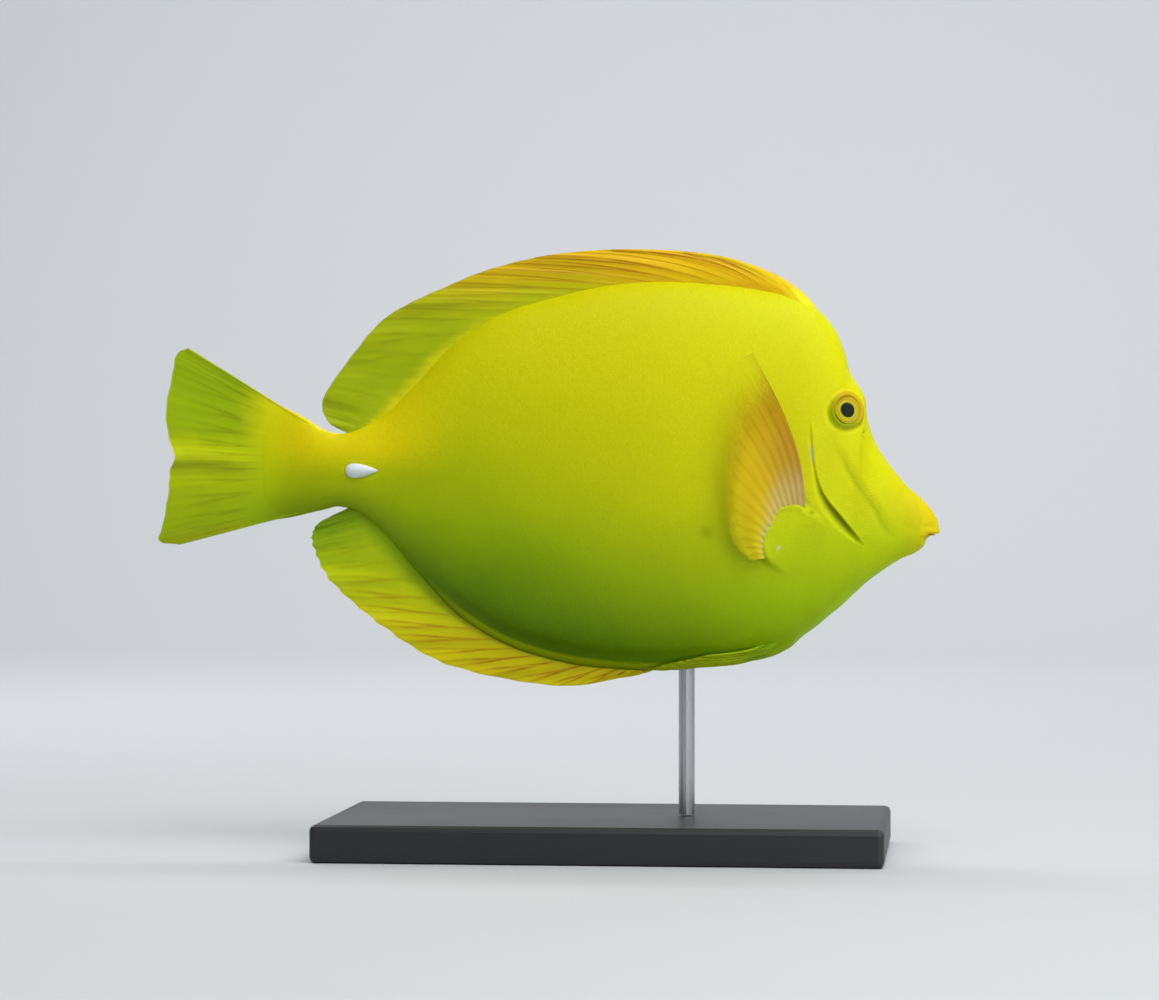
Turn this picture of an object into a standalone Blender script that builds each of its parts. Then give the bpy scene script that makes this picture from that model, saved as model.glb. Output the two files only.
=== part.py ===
"""Yellow tang, Zebrasoma flavescens: a life-size still model of an adult that swims level, on a display stand.

+X points to the head, +Z up, and the fish's right side is -Y. The origin lies on the surface that the stand
rests on, under the middle of the fish's length. Sizes are in millimetres. Places on the fish's side are in
hundredths of its total length, along and up from a point on the axis in the middle of its flank.
"""

import math

import bpy
import numpy as np
from mathutils import Vector

# Driving sizes in millimetres
TOTAL_LENGTH = 170.0
BODY_WIDTH = 22.5
AXIS_HEIGHT = 82.5
SEAM = 0.3
EYE_RADIUS = 3.6
EYE_BULGE = 1.5
ORBIT_RADII = (4.1, 1.1, 4.1)
LIP_RADIUS = 0.85
LIP_BEND = 2.4
COVER_THICKNESS = 1.1
FIN_RIM = 0.5
FIN_ROOT = 1.3
RAY_RIDGE = 0.55
DORSAL_RAYS, ANAL_RAYS, CAUDAL_RAYS, PECTORAL_RAYS, PELVIC_RAYS = 29, 23, 16, 15, 6
BASE_SIZE = (120.0, 64.0, 8.0)
BASE_MIDDLE = 14.0
BASE_EDGE = 1.2
ROD_RADIUS = 1.75
ROD_PLACE = 4.2

# How far the snout and the tail reach, in the unit of every place on the side
SNOUT_REACH = 36.2
TAIL_REACH = -64.3
MIDDLE = (SNOUT_REACH + TAIL_REACH) / 2
HUNDREDTH = TOTAL_LENGTH / (SNOUT_REACH - TAIL_REACH)
METRES = 0.001

# Each station of the body is a slanted section from the back to the belly: how far along and up its
# upper and lower ends are, its width as a share of BODY_WIDTH, and how full its upper half is
STATIONS = (
    (36.0, -6.8, 35.4, -8.6, 0.15, 2.4),
    (35.2, -5.7, 34.4, -9.4, 0.25, 2.4),
    (33.6, -4.0, 33.0, -10.3, 0.33, 2.5),
    (31.4, -2.4, 30.9, -11.1, 0.39, 2.7),
    (28.1, 2.5, 27.0, -13.7, 0.54, 3.2),
    (26.8, 6.2, 25.1, -15.7, 0.64, 3.9),
    (26.5, 9.3, 23.4, -17.3, 0.73, 4.4),
    (24.8, 12.1, 22.0, -18.5, 0.8, 4.4),
    (24.1, 14.5, 20.6, -19.8, 0.85, 4.0),
    (22.8, 17.7, 18.9, -21.1, 0.89, 3.6),
    (20.8, 20.3, 17.3, -22.6, 0.93, 3.2),
    (17.6, 21.8, 14.7, -23.8, 0.965, 2.9),
    (12.5, 22.9, 10.9, -24.5, 0.99, 2.7),
    (7.4, 23.5, 6.8, -24.9, 1.0, 2.6),
    (1.0, 23.8, 0.9, -25.4, 0.98, 2.6),
    (-6.0, 23.3, -5.8, -25.1, 0.92, 2.6),
    (-13.0, 21.7, -12.7, -24.0, 0.83, 2.6),
    (-19.4, 19.7, -19.2, -21.8, 0.72, 2.6),
    (-25.4, 16.0, -25.2, -18.0, 0.6, 2.6),
    (-30.6, 10.7, -30.1, -13.0, 0.48, 2.5),
    (-34.5, 7.0, -34.1, -8.5, 0.38, 2.4),
    (-38.0, 5.2, -37.7, -5.6, 0.31, 2.3),
    (-40.5, 4.7, -40.5, -4.7, 0.26, 2.2),
    (-42.6, 5.2, -42.6, -5.1, 0.21, 2.2),
    (-45.2, 6.9, -45.2, -6.1, 0.15, 2.2),
    (-46.3, 6.5, -46.3, -5.8, 0.08, 2.2),
)
SNOUT_TIP = (36.1, -7.5)
TAIL_BASE_END = (-46.7, 0.4)
BELLY_FULLNESS = 2.6
WIDEST_LEVEL = -0.12

# Dorsal and anal fin, front to rear: how far along a ray leaves the body, and where it ends
DORSAL = (
    (20.4, 19.6, 21.6),
    (18.3, 14.5, 25.3),
    (15.8, 6.1, 27.2),
    (13.0, -1.5, 28.0),
    (8.0, -10.5, 27.9),
    (2.2, -18.2, 26.7),
    (-4.2, -25.4, 24.2),
    (-10.9, -31.6, 21.7),
    (-17.5, -36.2, 19.1),
    (-24.5, -39.6, 15.0),
    (-30.3, -42.3, 10.9),
    (-34.4, -43.2, 8.3),
    (-37.0, -42.3, 6.0),
    (-38.4, -40.3, 5.2),
)
ANAL = (
    (0.6, -0.4, -25.7),
    (-0.6, -3.8, -26.5),
    (-3.8, -13.0, -27.6),
    (-11.5, -26.7, -25.6),
    (-20.0, -35.9, -20.7),
    (-28.4, -42.6, -15.2),
    (-34.4, -44.6, -9.5),
    (-36.7, -43.8, -7.3),
    (-38.4, -41.5, -5.9),
)
# Tail fin, top to bottom: the level at which a ray leaves the body, and where it ends. The rays start
# together inside the body, and their roots take up a little less than its height
CAUDAL_ROOT = -44.4
CAUDAL_ROOT_HEIGHT = 0.93
CAUDAL = (
    (6.9, -60.9, 15.9),
    (6.2, -62.5, 15.0),
    (5.2, -63.3, 11.0),
    (4.2, -63.6, 7.9),
    (2.8, -62.9, 4.0),
    (1.5, -62.0, 1.5),
    (0.3, -62.9, 0.0),
    (-1.5, -63.0, -3.0),
    (-3.8, -64.0, -7.4),
    (-5.3, -64.3, -9.3),
    (-6.1, -61.4, -9.5),
)
# Pectoral fin: the hinge on the body, the arc where the rays leave the fleshy base, and the rim
PECTORAL = (
    (20.5, -5.4, 18.9, -4.2, 13.6, 14.6),
    (19.9, -6.0, 17.4, -4.1, 11.6, 13.8),
    (19.3, -6.8, 16.0, -4.5, 9.8, 10.9),
    (18.5, -7.7, 14.8, -5.4, 8.8, 5.8),
    (17.8, -8.7, 13.9, -6.8, 8.3, 0.0),
    (16.9, -9.6, 13.4, -8.2, 8.6, -5.1),
    (16.0, -10.4, 13.3, -9.6, 9.6, -9.0),
    (15.2, -11.1, 13.9, -11.0, 12.1, -11.5),
)
PECTORAL_SPREAD = 9.5
PECTORAL_BOW = 1.6
PECTORAL_BASE = (17.4, -8.3, 5.2, 1.0, 6.4)
# Pelvic fin, folded back along the belly: how far along each ray starts and how far across in millimetres,
# and the same for its end
PELVIC = (
    (16.8, 2.5, -0.6, 2.7),
    (16.4, 3.4, 0.6, 3.5),
    (16.0, 4.3, 3.0, 4.3),
    (15.4, 5.0, 6.8, 5.0),
)
# The opening of the gills from top to bottom, and the front edge of the gill cover from bottom to top
GILL_LINE = (
    (18.2, 26.0),
    (19.2, 16.0),
    (19.9, 10.9),
    (20.2, 6.3),
    (20.4, 3.8),
    (20.7, 0.6),
    (21.4, -2.2),
    (22.4, -4.0),
    (24.1, -6.1),
    (25.8, -8.2),
    (26.7, -9.6),
    (27.2, -12.0),
    (27.6, -18.0),
)
COVER_FRONT = (
    (28.4, -10.2),
    (29.6, -8.6),
    (29.0, -6.6),
    (28.1, -5.0),
    (26.9, -2.9),
    (25.2, -0.4),
    (23.5, 2.2),
    (22.9, 4.2),
    (21.7, 6.0),
)
# Where the tail base starts, the eye, the two nostrils with their radii in millimetres, and the tail spine
TAIL_CUT = -34.6
EYE_PLACE = (24.6, 7.7)
NOSTRILS = ((26.2, 6.0, 0.42), (26.7, 4.9, 0.55))
SPINE_FROM, SPINE_TO, SPINE_LEVEL = -39.4, -35.2, -0.1

YELLOW = (0.78, 0.72, 0.02)
AMBER = (0.62, 0.42, 0.02)


def smooth_path(table, steps):
    """The rows of a table joined by one smooth curve, with so many steps from row to row."""
    rows = np.array(table, float)
    ends = np.vstack([2 * rows[0] - rows[1], rows, 2 * rows[-1] - rows[-2]])
    found = []
    for i in range(1, len(rows)):
        a, b, c, d = ends[i - 1 : i + 3]
        for t in np.linspace(0, 1, steps, endpoint=False):
            bend = (2 * a - 5 * b + 4 * c - d) * t**2 + (3 * b - a - 3 * c + d) * t**3
            found.append(b + ((c - a) * t + bend) / 2)
    return np.array(found + [rows[-1]])


def resampled(table, count):
    """A smooth path through the rows, read at so many even steps of row number."""
    fine = smooth_path(table, 12)
    at = np.linspace(0, len(fine) - 1, count)
    return np.column_stack([np.interp(at, np.arange(len(fine)), fine[:, k]) for k in range(fine.shape[1])])


FINE = smooth_path(STATIONS, 8)


def half_width(share, level, fullness):
    """Half the body's width at a level of a section, from 1 at the back to -1 at the belly."""
    level = np.clip(level, -1, 1)
    above = np.maximum(0, (level - WIDEST_LEVEL) / (1 - WIDEST_LEVEL)) ** fullness
    below = np.maximum(0, (WIDEST_LEVEL - level) / (1 + WIDEST_LEVEL)) ** BELLY_FULLNESS
    return share * BODY_WIDTH / 2 * np.sqrt(np.maximum(0, 1 - above - below))


def flank(x, z):
    """Half the body's width in millimetres at a place on the side, 0 outside the outline."""
    up = (z - FINE[:, 3]) / (FINE[:, 1] - FINE[:, 3])
    at = FINE[:, 2] + (FINE[:, 0] - FINE[:, 2]) * up
    order = np.argsort(at)
    share = np.interp(x, at[order], FINE[order, 4])
    level = np.interp(x, at[order], 2 * up[order] - 1)
    fullness = np.interp(x, at[order], FINE[order, 5])
    return float(half_width(share, level, fullness))


def flank_normal(x, z, side):
    """Which way the body's surface faces at a place on one side."""
    step = 0.5
    along = (flank(x + step, z) - flank(x - step, z)) / (2 * step * HUNDREDTH)
    up = (flank(x, z + step) - flank(x, z - step)) / (2 * step * HUNDREDTH)
    return Vector((-along, side, -up)).normalized()


def on_flank(x, z, side, out=0.0):
    """A point in millimetres on the body's surface, or so far out from it."""
    mm_x, mm_z = in_millimetres(x, z)
    return Vector((mm_x, side * flank(x, z), mm_z)) + flank_normal(x, z, side) * out


def back_at(x):
    """The level of the back at a place along the fish."""
    order = np.argsort(FINE[:, 0])
    return float(np.interp(x, FINE[order, 0], FINE[order, 1]))


def belly_at(x):
    """The level of the belly at a place along the fish."""
    order = np.argsort(FINE[:, 2])
    return float(np.interp(x, FINE[order, 2], FINE[order, 3]))


def world(points):
    """Places along, across and up, with the across value in millimetres, as metres in the model's frame."""
    points = np.array(points, float)
    return np.column_stack(
        [(points[:, 0] - MIDDLE) * HUNDREDTH, points[:, 1], points[:, 2] * HUNDREDTH + AXIS_HEIGHT]
    ) * METRES


def clear_scene():
    """Removes whatever the scene holds."""
    for thing in list(bpy.data.objects):
        bpy.data.objects.remove(thing, do_unlink=True)


def paint(name, colour, roughness, metallic=0.0):
    material = bpy.data.materials.new(name)
    material.use_nodes = True
    shader = material.node_tree.nodes["Principled BSDF"]
    shader.inputs["Base Color"].default_value = (*colour, 1)
    shader.inputs["Roughness"].default_value = roughness
    shader.inputs["Metallic"].default_value = metallic
    return material


def solid(name, points, faces):
    """A closed mesh object from points in metres and faces, turned to face outwards."""
    mesh = bpy.data.meshes.new(name)
    mesh.from_pydata([tuple(p) for p in points], [], [tuple(f) for f in faces])
    mesh.update()
    mesh.calc_loop_triangles()
    volume = 0.0
    for face in mesh.loop_triangles:
        a, b, c = (mesh.vertices[i].co for i in face.vertices)
        volume += a.dot(b.cross(c))
    if volume < 0:
        mesh.flip_normals()
    thing = bpy.data.objects.new(name, mesh)
    bpy.context.collection.objects.link(thing)
    return thing


def tube_faces(rings, sides):
    """Triangles over a run of rings of points, closed by a pole at each end, the last two points."""
    faces = []
    for i in range(rings - 1):
        for k in range(sides):
            a, b = i * sides + k, i * sides + (k + 1) % sides
            faces += [(a, b, b + sides), (a, b + sides, a + sides)]
    first, last = rings * sides, rings * sides + 1
    for k in range(sides):
        after = (k + 1) % sides
        faces += [(first, after, k), (last, (rings - 1) * sides + k, (rings - 1) * sides + after)]
    return faces


def fish_body(name, grow=0.0, steps=2, sides=30):
    """The body without fins as one closed surface, grown outwards by so many millimetres."""
    stations = smooth_path(STATIONS, steps)
    turn = np.linspace(0, 2 * np.pi, sides, endpoint=False)
    level = np.cos(turn)
    across = np.sign(np.round(np.sin(turn), 9))
    rings = []
    for top_x, top_z, low_x, low_z, share, fullness in stations:
        x = (top_x + low_x) / 2 + (top_x - low_x) / 2 * level
        z = (top_z + low_z) / 2 + (top_z - low_z) / 2 * level
        y = -across * half_width(share, level, fullness)
        rings.append(np.column_stack([x * HUNDREDTH, y, z * HUNDREDTH]))
    rings = np.array(rings)
    along = np.gradient(rings, axis=0)
    around = np.roll(rings, -1, axis=1) - np.roll(rings, 1, axis=1)
    normals = np.cross(along, around)
    normals /= np.linalg.norm(normals, axis=2, keepdims=True)
    middle = rings.mean(axis=1, keepdims=True)
    if ((rings - middle) * normals).sum() < 0:
        normals = -normals
    points = (rings + normals * grow).reshape(-1, 3)
    poles = np.array(
        [
            [SNOUT_TIP[0] * HUNDREDTH + grow, 0, SNOUT_TIP[1] * HUNDREDTH],
            [TAIL_BASE_END[0] * HUNDREDTH - grow, 0, TAIL_BASE_END[1] * HUNDREDTH],
        ]
    )
    points = np.vstack([points, poles])
    points[:, 0] = points[:, 0] - MIDDLE * HUNDREDTH
    points[:, 2] += AXIS_HEIGHT
    return solid(name, points * METRES, tube_faces(len(stations), sides))


def prism(name, outline, near, far):
    """A plate with this outline on the fish's side, from one distance across to another."""
    count = len(outline)
    points = [(x, near, z) for x, z in outline] + [(x, far, z) for x, z in outline]
    faces = [tuple(range(count)), tuple(range(2 * count - 1, count - 1, -1))]
    for i in range(count):
        after = (i + 1) % count
        faces.append((i, i + count, after + count, after))
    return solid(name, world(points), faces)


def shifted(line, by):
    """A line on the fish's side moved sideways by so many millimetres, towards its left as it runs."""
    line = np.array(line, float)
    run = np.gradient(line, axis=0)
    run /= np.linalg.norm(run, axis=1, keepdims=True)
    return line + np.column_stack([-run[:, 1], run[:, 0]]) * by / HUNDREDTH


def plate(name, sheet, half):
    """A closed plate about a sheet of points in millimetres, each row from root to rim, half as thick each way."""
    sheet = np.array(sheet, float)
    rows, steps = sheet.shape[:2]
    over = np.gradient(sheet, axis=0)
    out = np.gradient(sheet, axis=1)
    normal = np.cross(over, out)
    length = np.linalg.norm(normal, axis=2, keepdims=True)
    normal = normal / np.maximum(length, 1e-9)
    offset = normal * np.array(half, float)[..., None]
    points = np.vstack([(sheet + offset).reshape(-1, 3), (sheet - offset).reshape(-1, 3)])
    below = rows * steps
    faces = []
    for i in range(rows - 1):
        for j in range(steps - 1):
            a, b, c, d = i * steps + j, (i + 1) * steps + j, (i + 1) * steps + j + 1, i * steps + j + 1
            faces += [(a, b, c), (a, c, d)]
            faces += [(a + below, c + below, b + below), (a + below, d + below, c + below)]
    border = list(range(steps))
    border += [i * steps + steps - 1 for i in range(1, rows)]
    border += [(rows - 1) * steps + j for j in range(steps - 2, -1, -1)]
    border += [i * steps for i in range(rows - 2, 0, -1)]
    for a, b in zip(border, border[1:] + border[:1]):
        faces += [(a, b, b + below), (a, b + below, a + below)]
    return solid(name, points * METRES, faces)


def boolean(thing, others, operation):
    """Joins, cuts or crosses a solid with a collection of others, applies it, and removes the others."""
    pieces = bpy.data.collections.new("pieces")
    for other in others:
        pieces.objects.link(other)
    change = thing.modifiers.new(operation.lower(), "BOOLEAN")
    change.operation = operation
    change.solver = "EXACT"
    change.operand_type = "COLLECTION"
    change.collection = pieces
    apply_changes(thing)
    for other in others:
        bpy.data.objects.remove(other, do_unlink=True)
    bpy.data.collections.remove(pieces)


def apply_changes(thing):
    """Puts the mesh that the modifiers make in place of the object's own."""
    bpy.context.view_layer.update()
    graph = bpy.context.evaluated_depsgraph_get()
    mesh = bpy.data.meshes.new_from_object(thing.evaluated_get(graph))
    thing.modifiers.clear()
    thing.data = mesh


def keep_largest(thing):
    """Leaves only the closed surface with the greatest extent."""
    mesh = thing.data
    parent = list(range(len(mesh.vertices)))

    def root(i):
        while parent[i] != i:
            parent[i] = parent[parent[i]]
            i = parent[i]
        return i

    for edge in mesh.edges:
        a, b = root(edge.vertices[0]), root(edge.vertices[1])
        if a != b:
            parent[b] = a
    area = {}
    for face in mesh.polygons:
        where = root(face.vertices[0])
        area[where] = area.get(where, 0) + face.area
    if len(area) < 2:
        return
    best = max(area, key=area.get)
    keep = [i for i in range(len(mesh.vertices)) if root(i) == best]
    number = {old: new for new, old in enumerate(keep)}
    points = [tuple(mesh.vertices[i].co) for i in keep]
    kept = [face.vertices for face in mesh.polygons if root(face.vertices[0]) == best]
    faces = [tuple(number[i] for i in corners) for corners in kept]
    whole = bpy.data.meshes.new(mesh.name)
    whole.from_pydata(points, [], faces)
    whole.update()
    thing.data = whole


def finish(thing, material):
    keep_largest(thing)
    thing.data.materials.clear()
    thing.data.materials.append(material)
    thing.data.shade_smooth()
    thing.data.set_sharp_from_angle(angle=math.radians(35))


def ball(name, centre, radii, rings=12, sides=16, axis=(0, 1, 0)):
    """An ellipsoid in millimetres, with its middle radius and its poles along the axis."""
    turned = Vector((0, 1, 0)).rotation_difference(Vector(axis)).to_matrix()
    points = []
    for i in range(1, rings):
        tilt = math.pi * i / rings
        for k in range(sides):
            turn = 2 * math.pi * k / sides
            points.append((math.sin(tilt) * math.cos(turn), math.cos(tilt), math.sin(tilt) * math.sin(turn)))
    points += [(0, 1, 0), (0, -1, 0)]
    stretched = [Vector((x * radii[0], y * radii[1], z * radii[2])) for x, y, z in points]
    placed = [(Vector(centre) + turned @ point) * METRES for point in stretched]
    return solid(name, placed, tube_faces(rings - 1, sides))


def in_millimetres(x, z):
    return (x - MIDDLE) * HUNDREDTH, z * HUNDREDTH + AXIS_HEIGHT


def ray_thickness(rays, steps, root=FIN_ROOT, rim=FIN_RIM):
    """Half thickness of a membrane: a ridge on each ray, a hollow between two, both thinner towards the rim."""
    out = np.linspace(0, 1, steps)
    plain = rim + (root - rim) * (1 - out) ** 1.5
    ridge = RAY_RIDGE * (1 - 0.55 * out) * np.minimum(1, 4 * out)
    on_ray = np.arange(2 * rays - 1) % 2 == 0
    return np.where(on_ray[:, None], plain + ridge, plain) / 2


def ray_reach(row, out, dip=0.012):
    """How far along each step lies: the membrane between two rays ends a little short of their tips."""
    return out * (1 - dip * (row % 2))


def median_fin(name, table, edge_at, sink, rays, steps, wave):
    """A fin that grows from the body's edge: rays from the edge, a little sunk, to the rim."""
    path = resampled(table, 2 * rays - 1)
    out = np.linspace(0, 1, steps)
    sheet = np.zeros((len(path), steps, 3))
    for i, (root_x, tip_x, tip_z) in enumerate(path):
        root_z = edge_at(root_x) + sink
        reach = ray_reach(i, out)
        x, z = in_millimetres(root_x + (tip_x - root_x) * reach, root_z + (tip_z - root_z) * reach)
        sheet[i, :, 0], sheet[i, :, 2] = x, z
        sheet[i, :, 1] = wave * math.sin(i * 0.45) * out**1.5
    return plate(name, sheet, ray_thickness(rays, steps))


def tail_fin():
    """The tail fin: rays that fan from the tail base, with low folds that run along them."""
    steps = 8
    path = resampled(CAUDAL, 2 * CAUDAL_RAYS - 1)
    out = np.linspace(0, 1, steps)
    sheet = np.zeros((len(path), steps, 3))
    for i, (root_z, tip_x, tip_z) in enumerate(path):
        reach = ray_reach(i, out)
        root_z *= CAUDAL_ROOT_HEIGHT
        x = CAUDAL_ROOT + (tip_x - CAUDAL_ROOT) * reach
        x, z = in_millimetres(x, root_z + (tip_z - root_z) * reach)
        sheet[i, :, 0], sheet[i, :, 2] = x, z
        share = i / (len(path) - 1)
        sheet[i, :, 1] = -0.9 * math.cos(share * 2 * math.pi * 2.2 - 0.5) * math.sin(math.pi * share) * out
    return plate("caudal_fin", sheet, ray_thickness(CAUDAL_RAYS, steps, 1.5))


def pectoral_base(name, side, grow=0.0):
    """The fleshy cushion that the rays of a pectoral fin stand on."""
    x, z, long, across, high = PECTORAL_BASE
    radii = (long + grow, across + 1.8 + grow, high + grow)
    return ball(name, on_flank(x, z, side, -1.8), radii, 10, 20, flank_normal(x, z, side))


def pectoral_fin(name, side):
    """A fin held up and out: rays that rise from the fleshy base, bow forward and fan to the rim."""
    steps = 9
    path = resampled(PECTORAL, 2 * PECTORAL_RAYS - 1)
    out = np.linspace(0, 1, steps) ** 1.2
    sheet = np.zeros((len(path), steps, 3))
    for i, (hinge_x, hinge_z, arc_x, arc_z, tip_x, tip_z) in enumerate(path):
        share = i / (len(path) - 1)
        spread = 2.2 + (PECTORAL_SPREAD - 2.2) * (1 - share) ** 0.8
        root_x, root_z = arc_x + (hinge_x - arc_x) * 0.7, arc_z + (hinge_z - arc_z) * 0.7
        for j, reach in enumerate(ray_reach(i, out, 0.02)):
            bow = PECTORAL_BOW * math.sin(math.pi * reach) * (1 - share) ** 1.5
            x = root_x + (tip_x - root_x) * reach + bow
            z = root_z + (tip_z - root_z) * reach
            mm_x, mm_z = in_millimetres(x, z)
            sheet[i, j] = (mm_x, side * (flank(x, z) + 0.3 + (spread - 0.3) * reach**0.8), mm_z)
    return plate(name, sheet, ray_thickness(PECTORAL_RAYS, steps, 1.5))


def underside(x, across):
    """The level on the body's lower half where it is so many millimetres wide on one side."""
    levels = np.linspace(belly_at(x), belly_at(x) + 12, 90)
    return float(np.interp(across, [flank(x, z) for z in levels], levels))


def pelvic_fin(name, side):
    """A small fin folded back flat along the lower flank, a little off the skin."""
    steps = 8
    path = resampled(PELVIC, 2 * PELVIC_RAYS - 1)
    out = np.linspace(0, 1, steps)
    sheet = np.zeros((len(path), steps, 3))
    for i, (root_x, root_y, tip_x, tip_y) in enumerate(path):
        for j, t in enumerate(ray_reach(i, out)):
            x = root_x + (tip_x - root_x) * t
            level = underside(x, root_y + (tip_y - root_y) * t)
            lift = -0.4 + 1.25 * min(1, 5 * t) + 0.5 * t
            sheet[i, j] = on_flank(x, level, side, lift)
    return plate(name, sheet, ray_thickness(PELVIC_RAYS, steps, 1.0, 0.6))


def lip(name, level, reach, half_across, radius, drop):
    """A lip: a thin roll that runs round the mouth from corner to corner."""
    bends, sides = 13, 8
    middle_x, middle_z = in_millimetres(reach, level)
    points = []
    for i in range(bends):
        turn = math.pi * (i / (bends - 1) - 0.5) * 1.15
        back = 1 - math.cos(turn)
        centre = np.array([middle_x - LIP_BEND * back, half_across * math.sin(turn), middle_z - drop * back])
        outward = np.array([math.cos(turn), math.sin(turn), 0])
        size = radius * (1 - 0.45 * abs(2 * i / (bends - 1) - 1) ** 3)
        for k in range(sides):
            around = 2 * math.pi * k / sides
            points.append(centre + size * (outward * math.cos(around) + np.array([0, 0, 1]) * math.sin(around)))
    points = np.array(points)
    ends = [points[:sides].mean(axis=0), points[-sides:].mean(axis=0)]
    faces = tube_faces(bends, sides)
    return solid(name, np.vstack([points, ends]) * METRES, faces)


def region(name, outline):
    return prism(name, outline, -40, 40)


def head_outline():
    line = shifted(smooth_path(GILL_LINE, 3), SEAM / 2)
    return [tuple(p) for p in line] + [(60, -18), (60, 26)]


def trunk_outline():
    line = shifted(smooth_path(GILL_LINE, 3), -SEAM / 2)
    back = TAIL_CUT + SEAM / 2 / HUNDREDTH
    return [tuple(p) for p in line] + [(line[-1][0], -40), (back, -40), (back, 40), (line[0][0], 40)]


def tail_outline():
    front = TAIL_CUT - SEAM / 2 / HUNDREDTH
    return [(front, -40), (front, 40), (-60, 40), (-60, -40)]


def cover_outline():
    rear = shifted(smooth_path(GILL_LINE, 3), SEAM / 2)[9:31]
    return [tuple(p) for p in rear] + [tuple(p) for p in smooth_path(COVER_FRONT, 3)]


def grown_outline(outline, by):
    """A closed outline moved outwards all round by so many millimetres."""
    points = np.array(outline, float)
    before, after = np.roll(points, 1, axis=0), np.roll(points, -1, axis=0)
    area = np.sum(points[:, 0] * after[:, 1] - after[:, 0] * points[:, 1])
    first, second = points - before, after - points
    first /= np.linalg.norm(first, axis=1, keepdims=True)
    second /= np.linalg.norm(second, axis=1, keepdims=True)
    across = np.column_stack([first[:, 1] + second[:, 1], -first[:, 0] - second[:, 0]]) * np.sign(area)
    across /= np.maximum((across * across).sum(axis=1, keepdims=True) / 2, 0.4)
    return [tuple(p) for p in points + across * by / HUNDREDTH]


def cover_blank(name, outline, side, outer, inner):
    """The part of the body's outer layer that lies inside an outline on one side."""
    blank = prism(name, outline, side * 1.0, side * 30)
    boolean(blank, [fish_body("outer", outer)], "INTERSECT")
    boolean(blank, [fish_body("inner", inner)], "DIFFERENCE")
    return blank


def spine_shape(name, side, grow):
    """The blade at the root of the tail: a flat drop with its point forward."""
    rings, sides = 9, 12
    points = []
    for i in range(rings):
        t = (i + 0.5) / rings
        x = SPINE_FROM + (SPINE_TO - SPINE_FROM) * t
        full = math.sin(math.pi * t**0.75) ** 0.8
        high = (1.75 * full + grow) / HUNDREDTH
        lies = flank(x, SPINE_LEVEL)
        for k in range(sides):
            turn = 2 * math.pi * k / sides
            mm_x, mm_z = in_millimetres(x, SPINE_LEVEL + high * math.sin(turn))
            points.append((mm_x, side * (lies + 0.15 + (0.85 * full + grow) * math.cos(turn)), mm_z))
    for end, out in ((SPINE_FROM, -1), (SPINE_TO, 1)):
        mm_x, mm_z = in_millimetres(end, SPINE_LEVEL)
        points.append((mm_x + out * grow, side * (flank(end, SPINE_LEVEL) + 0.15), mm_z))
    return solid(name, np.array(points) * METRES, tube_faces(rings, sides))


def eye_ball(name, side, grow, rings, sides):
    """The ball of an eye, set in the head so that only its outer part stands out."""
    centre = on_flank(*EYE_PLACE, side, EYE_BULGE - EYE_RADIUS)
    return ball(name, centre, [EYE_RADIUS + grow] * 3, rings, sides, flank_normal(*EYE_PLACE, side))


def build_head():
    head = fish_body("head")
    boolean(head, [region("cut", head_outline())], "INTERSECT")
    upper = lip("upper", -7.2, 35.7, 2.0, LIP_RADIUS, 0.2)
    lower = lip("lower", -9.0, 34.6, 1.8, LIP_RADIUS, 0.1)
    boolean(head, [upper, lower], "UNION")
    mm_x, mm_z = in_millimetres(36.6, -8.2)
    boolean(head, [ball("mouth", (mm_x, 0, mm_z), (3.0, 2.9, 0.3), 8, 16)], "DIFFERENCE")
    for side in (-1, 1):
        facing = flank_normal(*EYE_PLACE, side)
        ring = ball("ring", on_flank(*EYE_PLACE, side, -0.6), ORBIT_RADII, 8, 20, facing)
        boolean(head, [ring], "UNION")
        boolean(head, [eye_ball("socket", side, SEAM, 14, 20)], "DIFFERENCE")
        for x, z, radius in NOSTRILS:
            pit_radii = (radius, radius * 1.6, radius)
            pit = ball("pit", on_flank(x, z, side), pit_radii, 6, 10, flank_normal(x, z, side))
            boolean(head, [pit], "DIFFERENCE")
        pocket = cover_blank("pocket", grown_outline(cover_outline(), SEAM), side, 3.0, -COVER_THICKNESS - SEAM)
        boolean(head, [pocket], "DIFFERENCE")
    return head


def build_trunk():
    trunk = fish_body("trunk")
    boolean(trunk, [region("cut", trunk_outline())], "INTERSECT")
    boolean(trunk, [pectoral_base("base", side) for side in (-1, 1)], "UNION")
    return trunk


def build_tail_base():
    tail = fish_body("tail_base")
    boolean(tail, [region("cut", tail_outline())], "INTERSECT")
    for side in (-1, 1):
        boolean(tail, [spine_shape("sheath", side, SEAM)], "DIFFERENCE")
    return tail


def cut_clear(thing, bases=False):
    """Cuts a fin clear of the body, and of the pectoral fins' bases where they are near, by the seam."""
    boolean(thing, [fish_body("clear", SEAM)], "DIFFERENCE")
    if bases:
        boolean(thing, [pectoral_base("clear", side, SEAM) for side in (-1, 1)], "DIFFERENCE")
    return thing


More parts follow.
